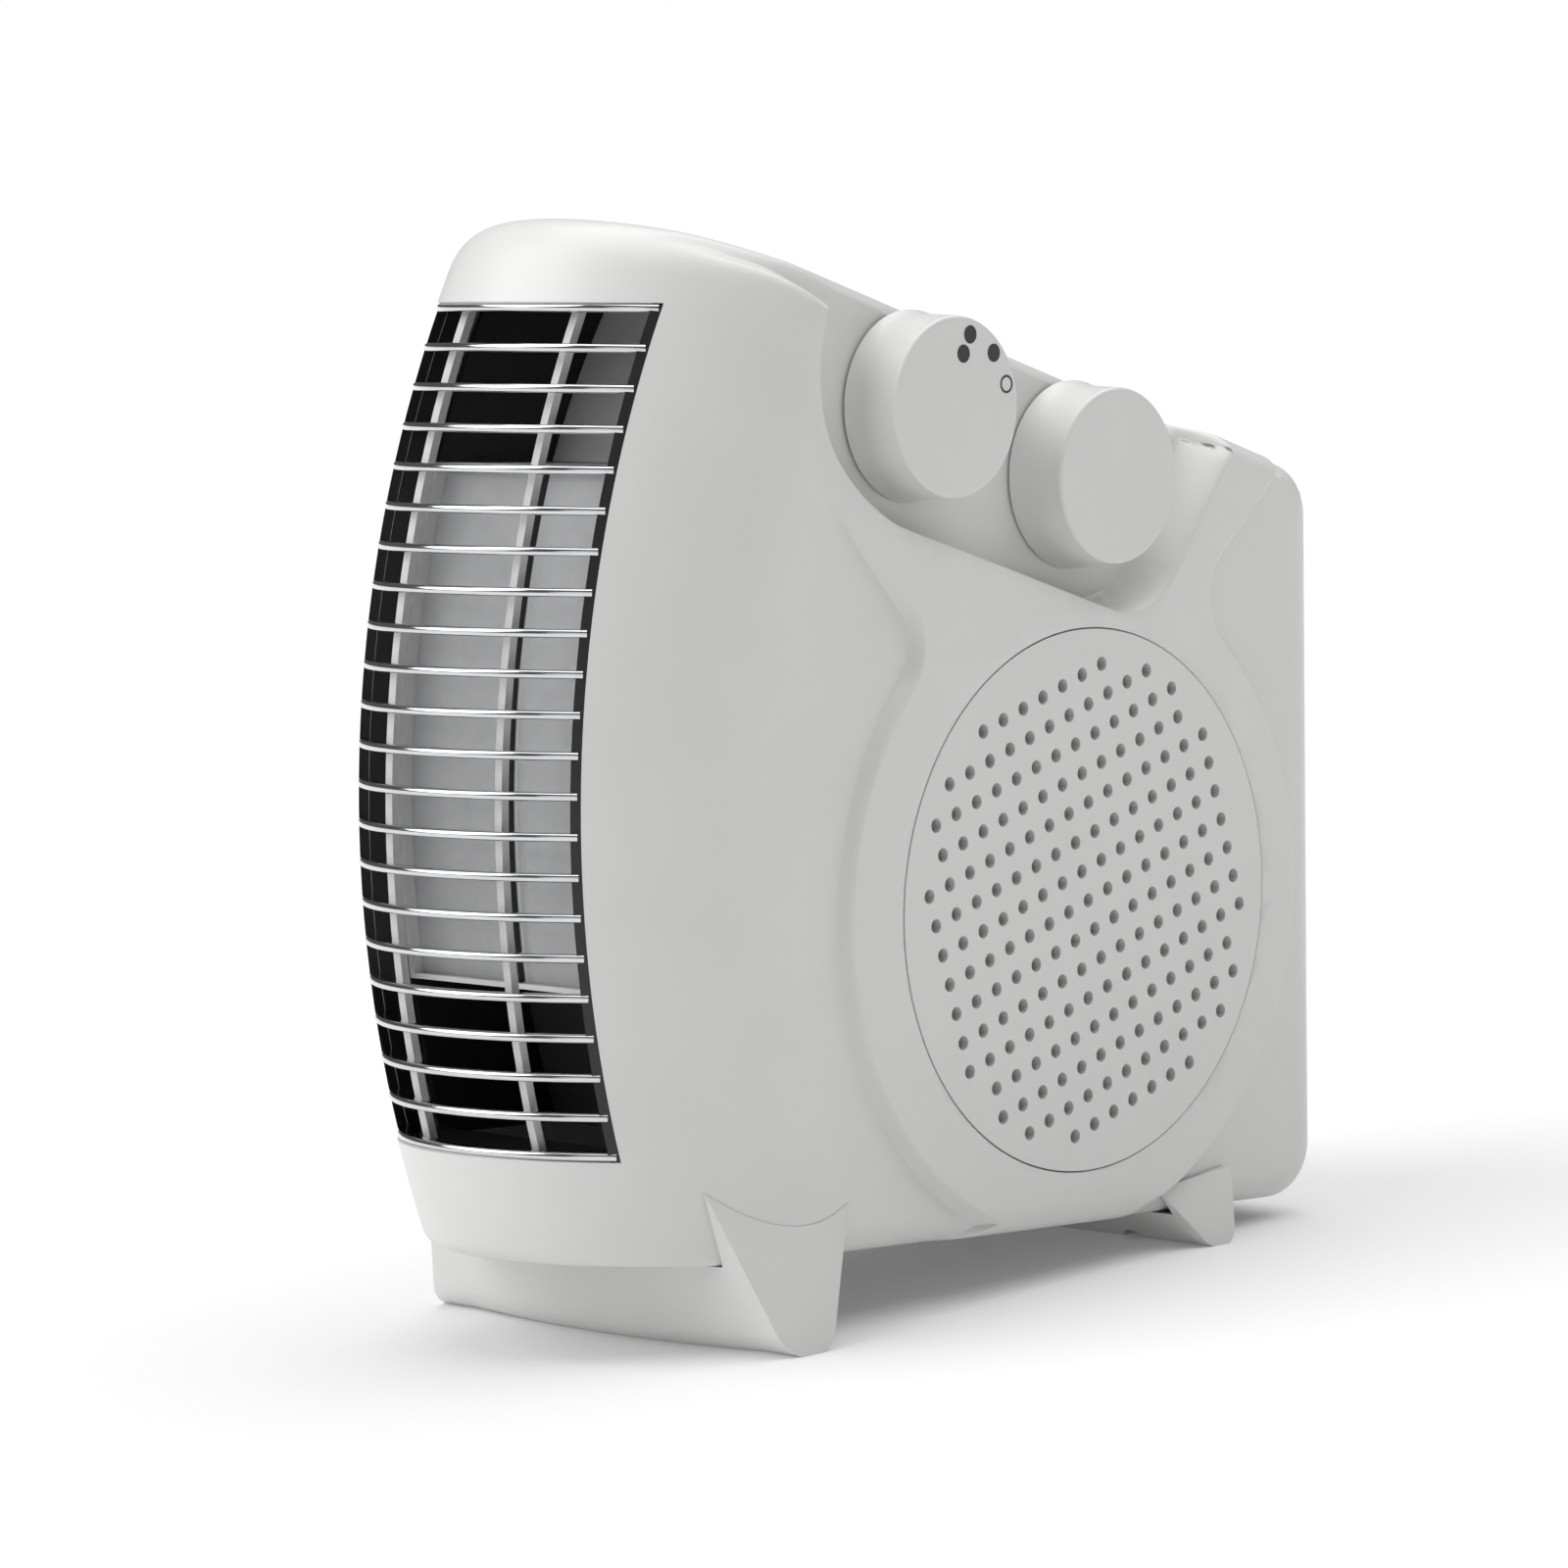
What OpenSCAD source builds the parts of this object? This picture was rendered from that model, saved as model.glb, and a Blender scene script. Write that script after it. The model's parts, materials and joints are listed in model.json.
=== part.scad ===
// Upright ceramic fan heater: curved casing on two feet, round side air intakes,
// chrome louvre grille in front, two control knobs in a recess of the right side.
// Casing frame: X across, Y to the rear, Z up, X axis = fan axis. seated() stands it on the floor.

/* [Casing] */
// Width between the flat side faces
side_w = 104; // [96:1:124]
// Wall of the mouldings
wall = 2.4; // [1.8:0.1:3.2]
// Height of the casing above the fan axis, measured where the front begins
top_h = 152.9; // [146:0.1:165]
// Fall of the top towards the rear, in degrees
top_fall = 15.4; // [12:0.1:18]
// Depth of the casing floor below the fan axis
base_h = 77.5; // [75:0.1:92]
// Distance of the rear wall behind the fan axis, at the height of the axis
rear_d = 89; // [84:1:106]
// Lean of the rear wall, in degrees
rear_lean = 2; // [0:0.1:3]
// Radius of the rear corners
rear_r = 13; // [6:1:18]
// Radius of the top front edge
front_edge_r = 15; // [6:1:20]
// Thickness of the raised side plates
plate_t = 3; // [2:0.1:4]
// Length over which the raised plate fades into the curved front
plate_fade = 14; // [8:1:20]
// Radius of the raised plate round the air intake
plate_r = 79.5; // [77:0.1:84]
// Where the casing splits, measured in from the left side face
cover_t = 8; // [6:0.5:12]

/* [Curved front] */
// Radius of the front in side view, at the edge of the grille
sweep_r = 255; // [240:1:280]
// Height above the fan axis at which the front stands furthest out
sweep_h = 29; // [20:1:36]
// Distance of the front ahead of the fan axis, at the edge of the grille
front_d = 149; // [144:1:170]
// Radius of the front in plan, over the grille
bow_r = 47; // [44:1:60]

/* [Grille] */
// Width of the grille opening
grille_w = 72; // [64:1:76]
// Top of the grille above the fan axis
grille_top = 138; // [130:0.5:139]
// Bottom of the grille below the fan axis
grille_low = 53; // [46:0.5:56]
// Number of louvre bars
bar_n = 22; // [16:1:24]
// Height of a louvre bar
bar_t = 2.0; // [1.4:0.1:2.6]
// Depth of a louvre bar
bar_d = 3.6; // [2.5:0.1:4.5]
// How far the bars stand behind the front surface
bar_back = 0.8; // [0.4:0.1:1.5]
// Width of the frame's side members
frame_side = 1.8; // [1.4:0.1:6]
// Width of the frame's top and bottom members
frame_end = 1.6; // [1.2:0.1:3]
// Depth of the frame
frame_d = 9; // [7:0.5:14]
// Distance of the vertical support ribs from the middle
rib_x = 17.7; // [12:0.1:24]
// Width of a support rib
rib_w = 2.2; // [1.2:0.1:3]
// Depth of a support rib
rib_d = 2.2; // [1.6:0.1:6]

/* [Air intake] */
// Radius of the perforated disc
disc_r = 63.8; // [58:0.1:68]
// Spacing of the perforations
hole_pitch = 7.3; // [6.5:0.1:8]
// Diameter of a perforation
hole_d = 3.4; // [2.6:0.1:4]
// Turn of the perforation rows, in degrees
hole_turn = 19.5; // [0:0.5:45]
// Clearance round the disc
disc_gap = 0.3; // [0.2:0.05:0.6]
// Ledge that the disc sits on
disc_ledge = 4; // [3:0.5:6]

/* [Controls] */
// Depth of the recess below the side plate
recess_d = 11.4; // [9:0.1:13]
// Radius of a knob's face
knob_r = 21; // [18:0.5:22.5]
// Extra radius at the foot of a knob
knob_flare = 1.2; // [0:0.1:2]
// Height of a knob above the recess floor
knob_h = 15.4; // [12:0.1:18]
// Gap under a knob
knob_gap = 0.7; // [0.4:0.1:1.2]
// Radius of the knob shafts
stem_r = 3; // [2.5:0.1:4]
// Radial running clearance of every shaft
run_gap = 0.05; // [0.02:0.01:0.1]
// Radial clearance of a shaft through a wall
pass_gap = 1; // [0.6:0.1:2]

/* [Feet] */
// Overall width over the feet, at their tips
foot_w = 118; // [112:1:140]
// Outward flare of the foot ends, in degrees
foot_flare = 15.5; // [6:0.5:20]
// Turn of the foot ends towards the front, in degrees
foot_turn = 8.2; // [0:0.2:12]
// Radius of the front foot's tip
front_tip_r = 9; // [7:0.5:10]
// Radius of the rear foot's tip
rear_tip_r = 6; // [4.5:0.5:7]
// Height of the flat that each tip stands on
tip_flat = 0.5; // [0.3:0.1:1]

/* [Fan and heater] */
// Outer radius of the fan drum
drum_r = 46; // [40:1:50]
// Width of the fan drum
drum_w = 66; // [56:1:68]
// Number of fan blades
blade_n = 30; // [20:1:40]
// Radius of the motor shaft
shaft_r = 3; // [2.5:0.1:4]
// Air gap between rotor and stator
air_gap = 0.4; // [0.3:0.05:0.6]
// Width of the heater duct
duct_w = 66; // [60:1:66]
// Sheet thickness of the duct and the baffles
sheet = 1.2; // [0.8:0.1:1.6]
// Depth of the heater's front behind the front surface
heater_back = 11; // [10:0.5:20]
// Depth of the plates above and below the heater
plate_back = 44; // [40:1:50]
// Number of heating tubes
tube_n = 5; // [4:1:6]
// Height of a heating tube
tube_h = 7; // [6:0.5:9]
// Spacing of the fins
fin_pitch = 2.6; // [2.2:0.1:4]
// Thickness of a fin
fin_t = 0.6; // [0.4:0.1:0.8]

/* [Hidden] */
$fn = 96;
white = [0.93, 0.93, 0.92];
black = [0.08, 0.08, 0.09];
steel = [0.75, 0.76, 0.78];
far = 400;
eps = 0.01;
// How far a rounding overlaps the face that it meets
lap = 0.005;
side_x = side_w / 2;
plate_x = side_x + plate_t;
half_grille = grille_w / 2;
// Sweep axis of the front: parallel to X, behind the casing
axis_y = sweep_r - front_d;
axis_z = sweep_h;
// Plan outline of the front, measured as radius from the sweep axis
bow_rise = bow_r - sqrt(bow_r * bow_r - half_grille * half_grille);
mid_r = sweep_r + bow_rise;
bow_c = mid_r - bow_r;
bow_turn = asin(half_grille / bow_r);
corner_r = (side_x + lap - half_grille) / (1 - sin(bow_turn));
corner_c = [sweep_r - corner_r * cos(bow_turn), side_x + lap - corner_r];
sweep_span = 50;
// Side outline of the casing
top_start_y = -107.8;
nose_y = -240;
function top_z(y) = top_h - tan(top_fall) * (y - top_start_y);
function rear_y(z) = rear_d - tan(rear_lean) * z;
rear_top_y = (rear_d - tan(rear_lean) * top_z(0)) / (1 - tan(rear_lean) * tan(top_fall));
front_top = [nose_y, top_z(nose_y)];
rear_top = [rear_top_y, top_z(rear_top_y)];
rear_low = [rear_y(-base_h), -base_h];
front_low = [nose_y, -base_h];
// Radius of the front surface, from the sweep axis, at a distance x from the middle
function bow_radius(x) = bow_c + sqrt(bow_r * bow_r - x * x);
// Y of a cylinder of radius r about the sweep axis, at height z
function sweep_y(r, z) = axis_y - sqrt(r * r - (z - axis_z) * (z - axis_z));
// Centre of a circle of radius r in the corner b, between a and c
function unit(v) = v / norm(v);
function corner_mid(a, b, c, r) = let (u = unit(a - b), v = unit(c - b), m = unit(u + v))
    b + m * r / sqrt((1 - u * v) / 2);
// Unit vector square to a line from a to b, to its left
function left_of(a, b) = let (d = unit(b - a)) [-d[1], d[0]];
// Point where a line from p touches a circle; side is 1 for its left, -1 for its right
function touch(p, c, r, side) = let (d = c - p, l = norm(d), a = asin(r / l), t = sqrt(l * l - r * r),
    h = atan2(d[1], d[0]) + side * a) p + t * [cos(h), sin(h)];

// Feet: tip circles, top corners
front_tip = [-97.2, -base_h - 11.4];
rear_tip = [45.7, -base_h - 2.2];
front_foot_top = [[-121.5, -base_h + 25.1], [-77.4, -base_h + 15.5]];
rear_foot_top = [[29.6, -base_h + 6.6], [54.2, -base_h + 10.3]];
tip_span = rear_tip - front_tip;
lean = atan(tip_span[1] / tip_span[0]) + asin((front_tip_r - rear_tip_r) / norm(tip_span));
function leaned(p) = [p[0] * cos(lean) + p[1] * sin(lean), p[1] * cos(lean) - p[0] * sin(lean)];
floor_z = leaned(front_tip)[1] - front_tip_r + tip_flat;
front_most = leaned([axis_y, axis_z])[0] - (mid_r - bar_back);
rear_corner = corner_mid(rear_low, rear_top, front_top, rear_r);
rear_most = leaned(rear_corner)[0] + rear_r;
mid_y = (front_most + rear_most) / 2;

// Louvre bars
bar_gap = 0.25;
bar_room = 0.8;
bar_low = -grille_low + bar_t / 2 + bar_gap;
bar_top = grille_top - bar_t / 2 - bar_gap;
bar_x = half_grille - frame_side;
function bar_z(i) = bar_low + i * (bar_top - bar_low) / (bar_n - 1);

// Raised plate: centre of its round part, and its wings up to the top
plate_c = [-2.5, 0];
plate_left = [[-60, 50], [-60, 66], [-102, 108], [-102, top_h + 37]];
plate_right = [[68, top_h + 37], [68, 99], [45, 76], [45, 55]];

// Controls
floor_x = plate_x - recess_d;
selector_at = [-52.4, 115.5];
thermostat_at = [4.3, 99.7];
lobe_c = [-55, 121.5];
lobe_r = 34.5;
nook_c = [13, 88.5];
nook_r = 20.5;
recess_rise = 54.4;
recess_left = 150;
switch_x = floor_x - wall - 0.2;
switch_depth = 15;
switch_size = 27;
thermostat_r = 15;
control_screw_at = 10;
terminal = [6.5, 0.8, 4.8];

// Screw bosses that join the left cover to the main shell
boss_at = [[-70, 11.5 - base_h], [74, 15.5 - base_h], [70, 86], [-29, 117]];
boss_r = 4;
screw_r = 1.7;
head_r = 3.4;
split_x = -side_x + cover_t;
foot_screw_x = 34;
front_screw_y = front_tip[0] + 1.3;
rear_screw_y = rear_tip[0] - 1;
foot_head_h = 2;
screw_grip = 7;

// Fan and motor
drum_half = drum_w / 2;
drum_plate_x = 0;
drum_plate_t = 2.5;
cheek_gap = 2;
cheek_x = drum_half + cheek_gap;
inlet_r = drum_r - 8;
scroll_r = drum_r + 16;
motor_r = 27;
stack_x0 = -30;
stack_x1 = -12;
rotor_r = 13;
cap_rim = 2;
cap_t = 2.5;
cap_left_x = -40;
cap_right_x = -3;
bush_r = 6;
bush_l = 5;
mount_x = -cheek_x - 0.1 - sheet;

// Heater
duct_x = duct_w / 2;
duct_low = -16.5;
duct_top = 101.5;
heater_r = sweep_r - heater_back;
back_r = sweep_r - plate_back;
duct_front_r = sweep_r - frame_d - 0.6;
heater_rear_y = -112;
window_y = -112;
scroll_y = -75.5;
end_w = 4.6;
tube_x = duct_x - sheet - 0.3 - end_w;
heater_low = duct_low + sheet + 0.5;
heater_top = duct_top - sheet - 0.5;
row_gap = (heater_top - heater_low - tube_n * tube_h) / (tube_n - 1);
row_pitch = tube_h + row_gap;
tube_wall = 1;
tube_setback = 4;
post_half = 1.7;
fin_gap = 0.3;
function tube_z(i) = heater_low + tube_h / 2 + i * row_pitch;
function tube_y(i) = sweep_y(heater_r, tube_z(i)) + tube_setback;
stone_t = 3;
stone_l = 2 * (tube_x - 4) / 3;
stone_d = 12;

// Cable inlet
inlet_z = -44;
gland_r = 7.5;
cable_r = 3.6;
// How far the gland reaches in and out of the rear wall
gland_in = 8;
gland_out = 2.4;

module seated() {
    translate([0, -mid_y, -floor_z]) rotate([-lean, 0, 0]) children();
}
// Extrude an outline drawn in the Y-Z plane from x0 to x1
module along_x(x0, x1) {
    translate([x0, 0, 0]) rotate([90, 0, 90]) linear_extrude(x1 - x0) children();
}
// Sweep an outline drawn as [radius, x] round the sweep axis
module sweep() {
    translate([0, axis_y, axis_z]) rotate([0, 90, 0]) rotate([0, 0, -90 - sweep_span])
        rotate_extrude(angle = 2 * sweep_span, $fn = 180) children();
}
// Everything inside a radius r of the sweep axis, between two x
module sweep_disc(r, x0, x1) {
    translate([x0, axis_y, axis_z]) rotate([0, 90, 0]) cylinder(r = r, h = x1 - x0, $fn = 240);
}
module plan_outline(inset) {
    half = side_x - inset;
    translate([0, -half]) square([corner_c[0] + eps, 2 * half]);
    intersection() {
        translate([corner_c[0], corner_c[1]]) circle(corner_r - inset, $fn = 180);
        translate([corner_c[0], -corner_c[1]]) circle(corner_r - inset, $fn = 180);
        translate([corner_c[0], -half])
            square([(corner_r - inset) * cos(bow_turn), 2 * half]);
    }
    translate([bow_c, 0]) intersection() {
        circle(bow_r - inset, $fn = 180);
        translate([(bow_r - inset) * cos(bow_turn) - eps, -half]) square([bow_r, 2 * half]);
    }
}
// What a rounding about m takes off, between the unit vectors u and v
module round_waste(m, u, v, r) {
    translate(m) difference() {
        polygon([[0, 0], 2 * r * u, 2 * r * (u + v), 2 * r * v]);
        circle(r + lap);
    }
}
module corner_waste(a, b, c, r) {
    round_waste(corner_mid(a, b, c, r), left_of(a, b), left_of(b, c), r);
}
module side_outline(inset) {
    low = -base_h + inset;
    tip = inset / cos(top_fall);
    rear = inset / cos(rear_lean);
    a = front_top - [0, tip];
    b = rear_top - [rear, tip - rear * tan(top_fall)];
    c = [rear_y(low) - rear, low];
    d = [front_low[0], low];
    r = max(rear_r - inset, 1);
    difference() {
        polygon([a, b, c, d]);
        corner_waste(a, b, c, r);
        corner_waste(b, c, d, r);
    }
}
// Top front edge: a rounding that touches the top and the middle of the curved front
module front_edge_waste(inset) {
    r = front_edge_r - inset;
    along = [cos(top_fall), -sin(top_fall)];
    up = left_of([0, 0], along);
    start = [0, top_z(0) - inset / cos(top_fall)] - r * up - [axis_y, axis_z];
    reach = mid_r - inset - r;
    slide = start * along + sqrt(pow(start * along, 2) - start * start + reach * reach);
    m = start - slide * along;
    round_waste(m + [axis_y, axis_z], unit(m), up, r);
}
// Everything behind the curved front and between the sides
module sweep_block(inset) {
    translate([0, axis_y, axis_z]) rotate([0, 90, 0]) rotate_extrude($fn = 180) plan_outline(inset);
}
module casing_block(inset) {
    intersection() {
        sweep_block(inset);
        along_x(-far / 2, far / 2) difference() {
            side_outline(inset);
            front_edge_waste(inset);
        }
    }
}
// Recess outline in the Y-Z plane, grown by g
module recess_outline(g) {
    l = lobe_r + g;
    n = nook_r + g;
    d = nook_c - lobe_c;
    turn = atan2(d[1], d[0]) + asin((l - n) / norm(d)) - 90;
    rise = recess_rise - 90;
    left = lobe_c + l * [cos(recess_left), sin(recess_left)];
    right = nook_c + n * [cos(rise), sin(rise)];
    translate(lobe_c) circle(l);
    translate(nook_c) circle(n);
    polygon([lobe_c + l * [cos(turn), sin(turn)], nook_c + n * [cos(turn), sin(turn)], right,
        right + top_h * [cos(recess_rise), sin(recess_rise)], [left[0], right[1] + top_h], left]);
}
// Raised keyhole plate of one side
module plate_outline() {
    intersection() {
        side_outline(0);
        union() {
            translate(plate_c) circle(plate_r, $fn = 180);
            polygon(concat(plate_left, plate_right));
        }
    }
}
module side_plate(s) {
    mirror([s < 0 ? 1 : 0, 0, 0]) intersection() {
        along_x(side_x - wall / 2, plate_x + plate_t) plate_outline();
        translate([0, plate_fade, 0]) sweep_block(-plate_t);
    }
}
// Round seat for a perforated disc: s is 1 for the right side, -1 for the left
module disc_seat(s) {
    mirror([s < 0 ? 1 : 0, 0, 0]) translate([side_x, 0, 0]) rotate([0, 90, 0]) {
        cylinder(r = disc_r + disc_gap, h = plate_t + 1);
        translate([0, 0, -wall - 1]) cylinder(r = disc_r - disc_ledge, h = wall + 2);
    }
}
module at_bosses() {
    for (p = boss_at) translate([0, p[0], p[1]]) rotate([0, 90, 0]) children();
}
module grille_window(clear) {
    translate([-half_grille + clear, window_y - far, -grille_low + clear])
        cube([grille_w - 2 * clear, far, grille_top + grille_low - 2 * clear]);
}

module main_shell() {
    color(white) seated() difference() {
        union() {
            difference() {
                union() {
                    casing_block(0);
                    side_plate(1);
                }
                difference() {
                    casing_block(wall);
                    along_x(floor_x - wall, far) recess_outline(wall);
                }
                translate([-far / 2 + split_x, -far, -far]) cube([far / 2, 2 * far, 2 * far]);
            }
            intersection() {
                casing_block(wall / 2);
                at_bosses() translate([0, 0, split_x]) cylinder(r = boss_r, h = side_x - split_x);
                foot_screw_places() cylinder(r = boss_r, h = screw_grip + wall);
            }
        }
        along_x(floor_x, far) recess_outline(0);
        grille_window(0);
        disc_seat(1);
        at_bosses() translate([0, 0, split_x - 1]) cylinder(r = screw_r, h = 26);
        for (p = [selector_at, thermostat_at]) translate([floor_x - wall - 1, p[0], p[1]])
            rotate([0, 90, 0]) cylinder(r = stem_r + pass_gap, h = wall + 2);
        translate([0, rear_y(inlet_z) + 5, inlet_z]) rotate([90, 0, 0]) cylinder(r = gland_r, h = 20);
        foot_screw_places() translate([0, 0, -1]) cylinder(r = screw_r, h = screw_grip + 1);
        control_screw_places() translate([0, 0, -wall - 1]) cylinder(r = screw_r, h = wall + 2);
    }
}
module left_cover() {
    color(white) seated() difference() {
        union() {
            difference() {
                union() {
                    casing_block(0);
                    side_plate(-1);
                }
                casing_block(wall);
                translate([split_x, -far, -far]) cube([far, 2 * far, 2 * far]);
            }
            intersection() {
                casing_block(wall / 2);
                at_bosses() translate([0, 0, -side_x + wall / 2])
                    cylinder(r = boss_r + 1.6, h = cover_t - wall / 2);
            }
        }
        disc_seat(-1);
        at_bosses() translate([0, 0, -far / 2]) {
            cylinder(r = head_r + 0.3, h = far / 2 + split_x - wall);
            cylinder(r = screw_r + 0.2, h = far);
        }
    }
}
module intake_grille(s) {
    reach = disc_r - disc_ledge - hole_d / 2 - 0.2;
    span = floor(reach / hole_pitch);
    color(white) seated() mirror([s < 0 ? 1 : 0, 0, 0]) translate([side_x, 0, 0]) rotate([0, 90, 0])
        difference() {
            cylinder(r = disc_r, h = plate_t, $fn = 180);
            rotate([0, 0, hole_turn]) for (i = [-span : span], j = [-span : span])
                if (norm([i, j]) * hole_pitch < reach + 0.4)
                    translate([i * hole_pitch, j * hole_pitch, -1])
                        cylinder(d = hole_d, h = plate_t + 2, $fn = 16);
        }
}
module intake_grille_right() intake_grille(1);
module intake_grille_left() intake_grille(-1);

module grille_frame() {
    color(black) seated() intersection() {
        difference() {
            sweep_block(0.3);
            sweep_disc(sweep_r - frame_d, -far / 2, far / 2);
            translate([-half_grille + frame_side, -far, -grille_low + frame_end])
                cube([grille_w - 2 * frame_side, far, grille_top + grille_low - 2 * frame_end]);
            difference() {
                translate([-bar_x, -far, -grille_low]) cube([2 * bar_x, far, grille_top + grille_low]);
                sweep_block(bar_back + bar_d + bar_room);
            }
        }
        grille_window(0.15);
    }
}
// One curved bar: an arc through the front surface at the middle and at the frame
module louvre_bar(z) {
    mid = sweep_y(mid_r, z);
    rise = sweep_y(bow_radius(half_grille), z) - mid;
    r = (half_grille * half_grille + rise * rise) / (2 * rise);
    turn = asin(bar_x / (r - bar_back - bar_d)) + 6;
    intersection() {
        translate([0, mid + r, z]) rotate([0, 0, -90 - turn]) rotate_extrude(angle = 2 * turn, $fn = 120)
            translate([r - bar_back - bar_d, 0]) {
                translate([bar_t / 2, -bar_t / 2]) square([bar_d - bar_t, bar_t]);
                translate([bar_t / 2, 0]) circle(bar_t / 2, $fn = 24);
                translate([bar_d - bar_t / 2, 0]) circle(bar_t / 2, $fn = 24);
            }
        translate([-bar_x, -far, z - bar_t]) cube([2 * bar_x, far, 2 * bar_t]);
    }
}
module grille_bars() {
    color(steel) seated() for (i = [0 : bar_n - 1]) louvre_bar(bar_z(i));
}
module grille_ribs() {
    front_r = bow_radius(rib_x + rib_w / 2) - bar_back - bar_d - bar_room;
    color(steel) seated() intersection() {
        for (s = [-1, 1]) sweep() translate([front_r - rib_d, s * rib_x - rib_w / 2]) square([rib_d, rib_w]);
        translate([-far / 2, -far, -grille_low + frame_end])
            cube([far, far, grille_top + grille_low - 2 * frame_end]);
    }
}

// Outline of a foot in the Y-Z plane, inset by t; top holds its front and rear top corners
module foot_outline(tip, tip_r, top, t) {
    f = top[0] + [t * 1.4, 0];
    b = top[1] - [t, 0];
    r = tip_r - t;
    translate(tip) circle(r);
    polygon([f, touch(f, tip, r, -1), tip, touch(b, tip, r, 1), b]);
}
// Everything inside the right end plane of a foot; the plane's outermost point is at foot_w / 2
module inside_foot_end(tip, tip_r, inset) {
    out = norm([tan(foot_turn), tan(foot_flare) / cos(foot_turn)]);
    translate([foot_w / 2 - tip_r * out - inset, tip[0], tip[1]]) rotate([0, 0, -foot_turn])
        rotate([0, -foot_flare, 0]) translate([-far, -far / 2, -far / 2]) cube(far);
}
module foot_ends(tip, tip_r, inset) {
    intersection() {
        inside_foot_end(tip, tip_r, inset);
        mirror([1, 0, 0]) inside_foot_end(tip, tip_r, inset);
    }
}
module foot(tip, tip_r, top, screws_y) {
    difference() {
        intersection() {
            along_x(-foot_w, foot_w) foot_outline(tip, tip_r, top, 0);
            foot_ends(tip, tip_r, 0);
        }
        difference() {
            intersection() {
                along_x(-foot_w, foot_w) foot_outline(tip, tip_r, top, wall);
                foot_ends(tip, tip_r, wall);
                translate([-side_x + 8, -far, -far]) cube([side_w - 16, 2 * far, 2 * far]);
            }
            for (s = [-1, 1]) translate([s * foot_screw_x, screws_y, tip[1] - tip_r])
                cylinder(r = 4.5, h = 60);
        }
        casing_block(-0.15);
        for (s = [-1, 1]) translate([s * foot_screw_x, screws_y, tip[1] - tip_r - 1]) {
            cylinder(r = screw_r + 0.2, h = 60);
            cylinder(r = head_r + 0.3, h = tip_r + 1 + foot_head_h);
        }
        for (s = [-1, 1]) side_plate(s);
        rotate([lean, 0, 0]) translate([-far / 2, -far, floor_z - 50]) cube([far, 2 * far, 50]);
    }
}
// Places where the foot screws enter the casing floor
module foot_screw_places() {
    for (s = [-1, 1], y = [front_screw_y, rear_screw_y]) translate([s * foot_screw_x, y, -base_h]) children();
}
module front_foot() {
    color(white) seated() foot(front_tip, front_tip_r, front_foot_top, front_screw_y);
}
module rear_foot() {
    color(white) seated() foot(rear_tip, rear_tip_r, rear_foot_top, rear_screw_y);
}
module screw(length, head_h) {
    difference() {
        cylinder(r = head_r, h = head_h, $fn = 32);
        for (a = [0, 90]) rotate([0, 0, a]) translate([-2, -0.4, -1]) cube([4, 0.8, 1 + head_h / 2]);
    }
    translate([0, 0, head_h - eps]) cylinder(r = screw_r, h = length - head_h, $fn = 32);
}
module foot_screws() {
    color(steel) seated() for (s = [-1, 1], p = [[front_screw_y, front_tip[1]], [rear_screw_y, rear_tip[1]]])
        translate([s * foot_screw_x, p[0], p[1]]) screw(screw_grip - 1 - base_h - p[1], foot_head_h);
}
module cover_screws() {
    color(steel) seated() at_bosses() translate([0, 0, split_x - wall - 2.4]) screw(24, 2.4);
}
module cable_inlet() {
    color(black) seated() translate([0, rear_y(inlet_z), inlet_z]) rotate([-90, 0, 0]) difference() {
        union() {
            translate([0, 0, -gland_in]) cylinder(r = gland_r - 0.1, h = gland_in + 2, $fn = 48);
            translate([0, 0, 0.6]) cylinder(r = gland_r + 2.5, h = gland_out - 0.6, $fn = 48);
            translate([0, 0, -gland_in]) cylinder(r = gland_r + 2, h = gland_in - wall - 1, $fn = 48);
        }
        translate([0, 0, -gland_in - 1]) cylinder(r = cable_r, h = gland_in + gland_out + 2, $fn = 48);
    }
}

// Part of the inside between two radii from the sweep axis
module between_sweeps(r_in, r_out, half, low, top) {
    intersection() {
        difference() {
            sweep_disc(r_out, -half, half);
            sweep_disc(r_in, -half - 1, half + 1);
        }
        translate([-half, -far, low]) cube([2 * half, far, top - low]);
    }
}
module heater_duct() {
    color([0.78, 0.78, 0.78]) seated() difference() {
        intersection() {
            sweep_disc(duct_front_r, -duct_x, duct_x);
            translate([-duct_x, -far, duct_low]) cube([duct_w, far + scroll_y - 0.5, duct_top - duct_low]);
        }
        translate([-duct_x + sheet, -far, duct_low + sheet])
            cube([duct_w - 2 * sheet, 2 * far, duct_top - duct_low - 2 * sheet]);
    }
}
module side_baffles(low, top) {
    difference() {
        between_sweeps(back_r + 0.2, duct_front_r, duct_x, low, top);
        translate([-duct_x + sheet, -far, low - 1]) cube([duct_w - 2 * sheet, far, top - low + 2]);
    }
}
module upper_baffles() {
    color(black) seated() {
        side_baffles(duct_top + 0.2, grille_top);
    }
}
module lower_baffles() {
    color(black) seated() {
        side_baffles(-grille_low, duct_low - 0.2);
    }
}
module upper_back_plate() {
    color([0.75, 0.75, 0.75]) seated()
        between_sweeps(back_r - sheet, back_r, duct_x, duct_top + 0.2, grille_top);
}
module lower_back_plate() {
    color([0.3, 0.3, 0.3]) seated()
        between_sweeps(back_r - sheet, back_r, duct_x, -grille_low, duct_low - 0.2);
}
// Block that fills the heater's height between two x, from a radius of the sweep back to its rear
module heater_block(r, x0, x1) {
    intersection() {
        sweep_disc(r, x0, x1);
        translate([x0, -far, heater_low]) cube([x1 - x0, far + heater_rear_y, heater_top - heater_low]);
    }
}
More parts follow.
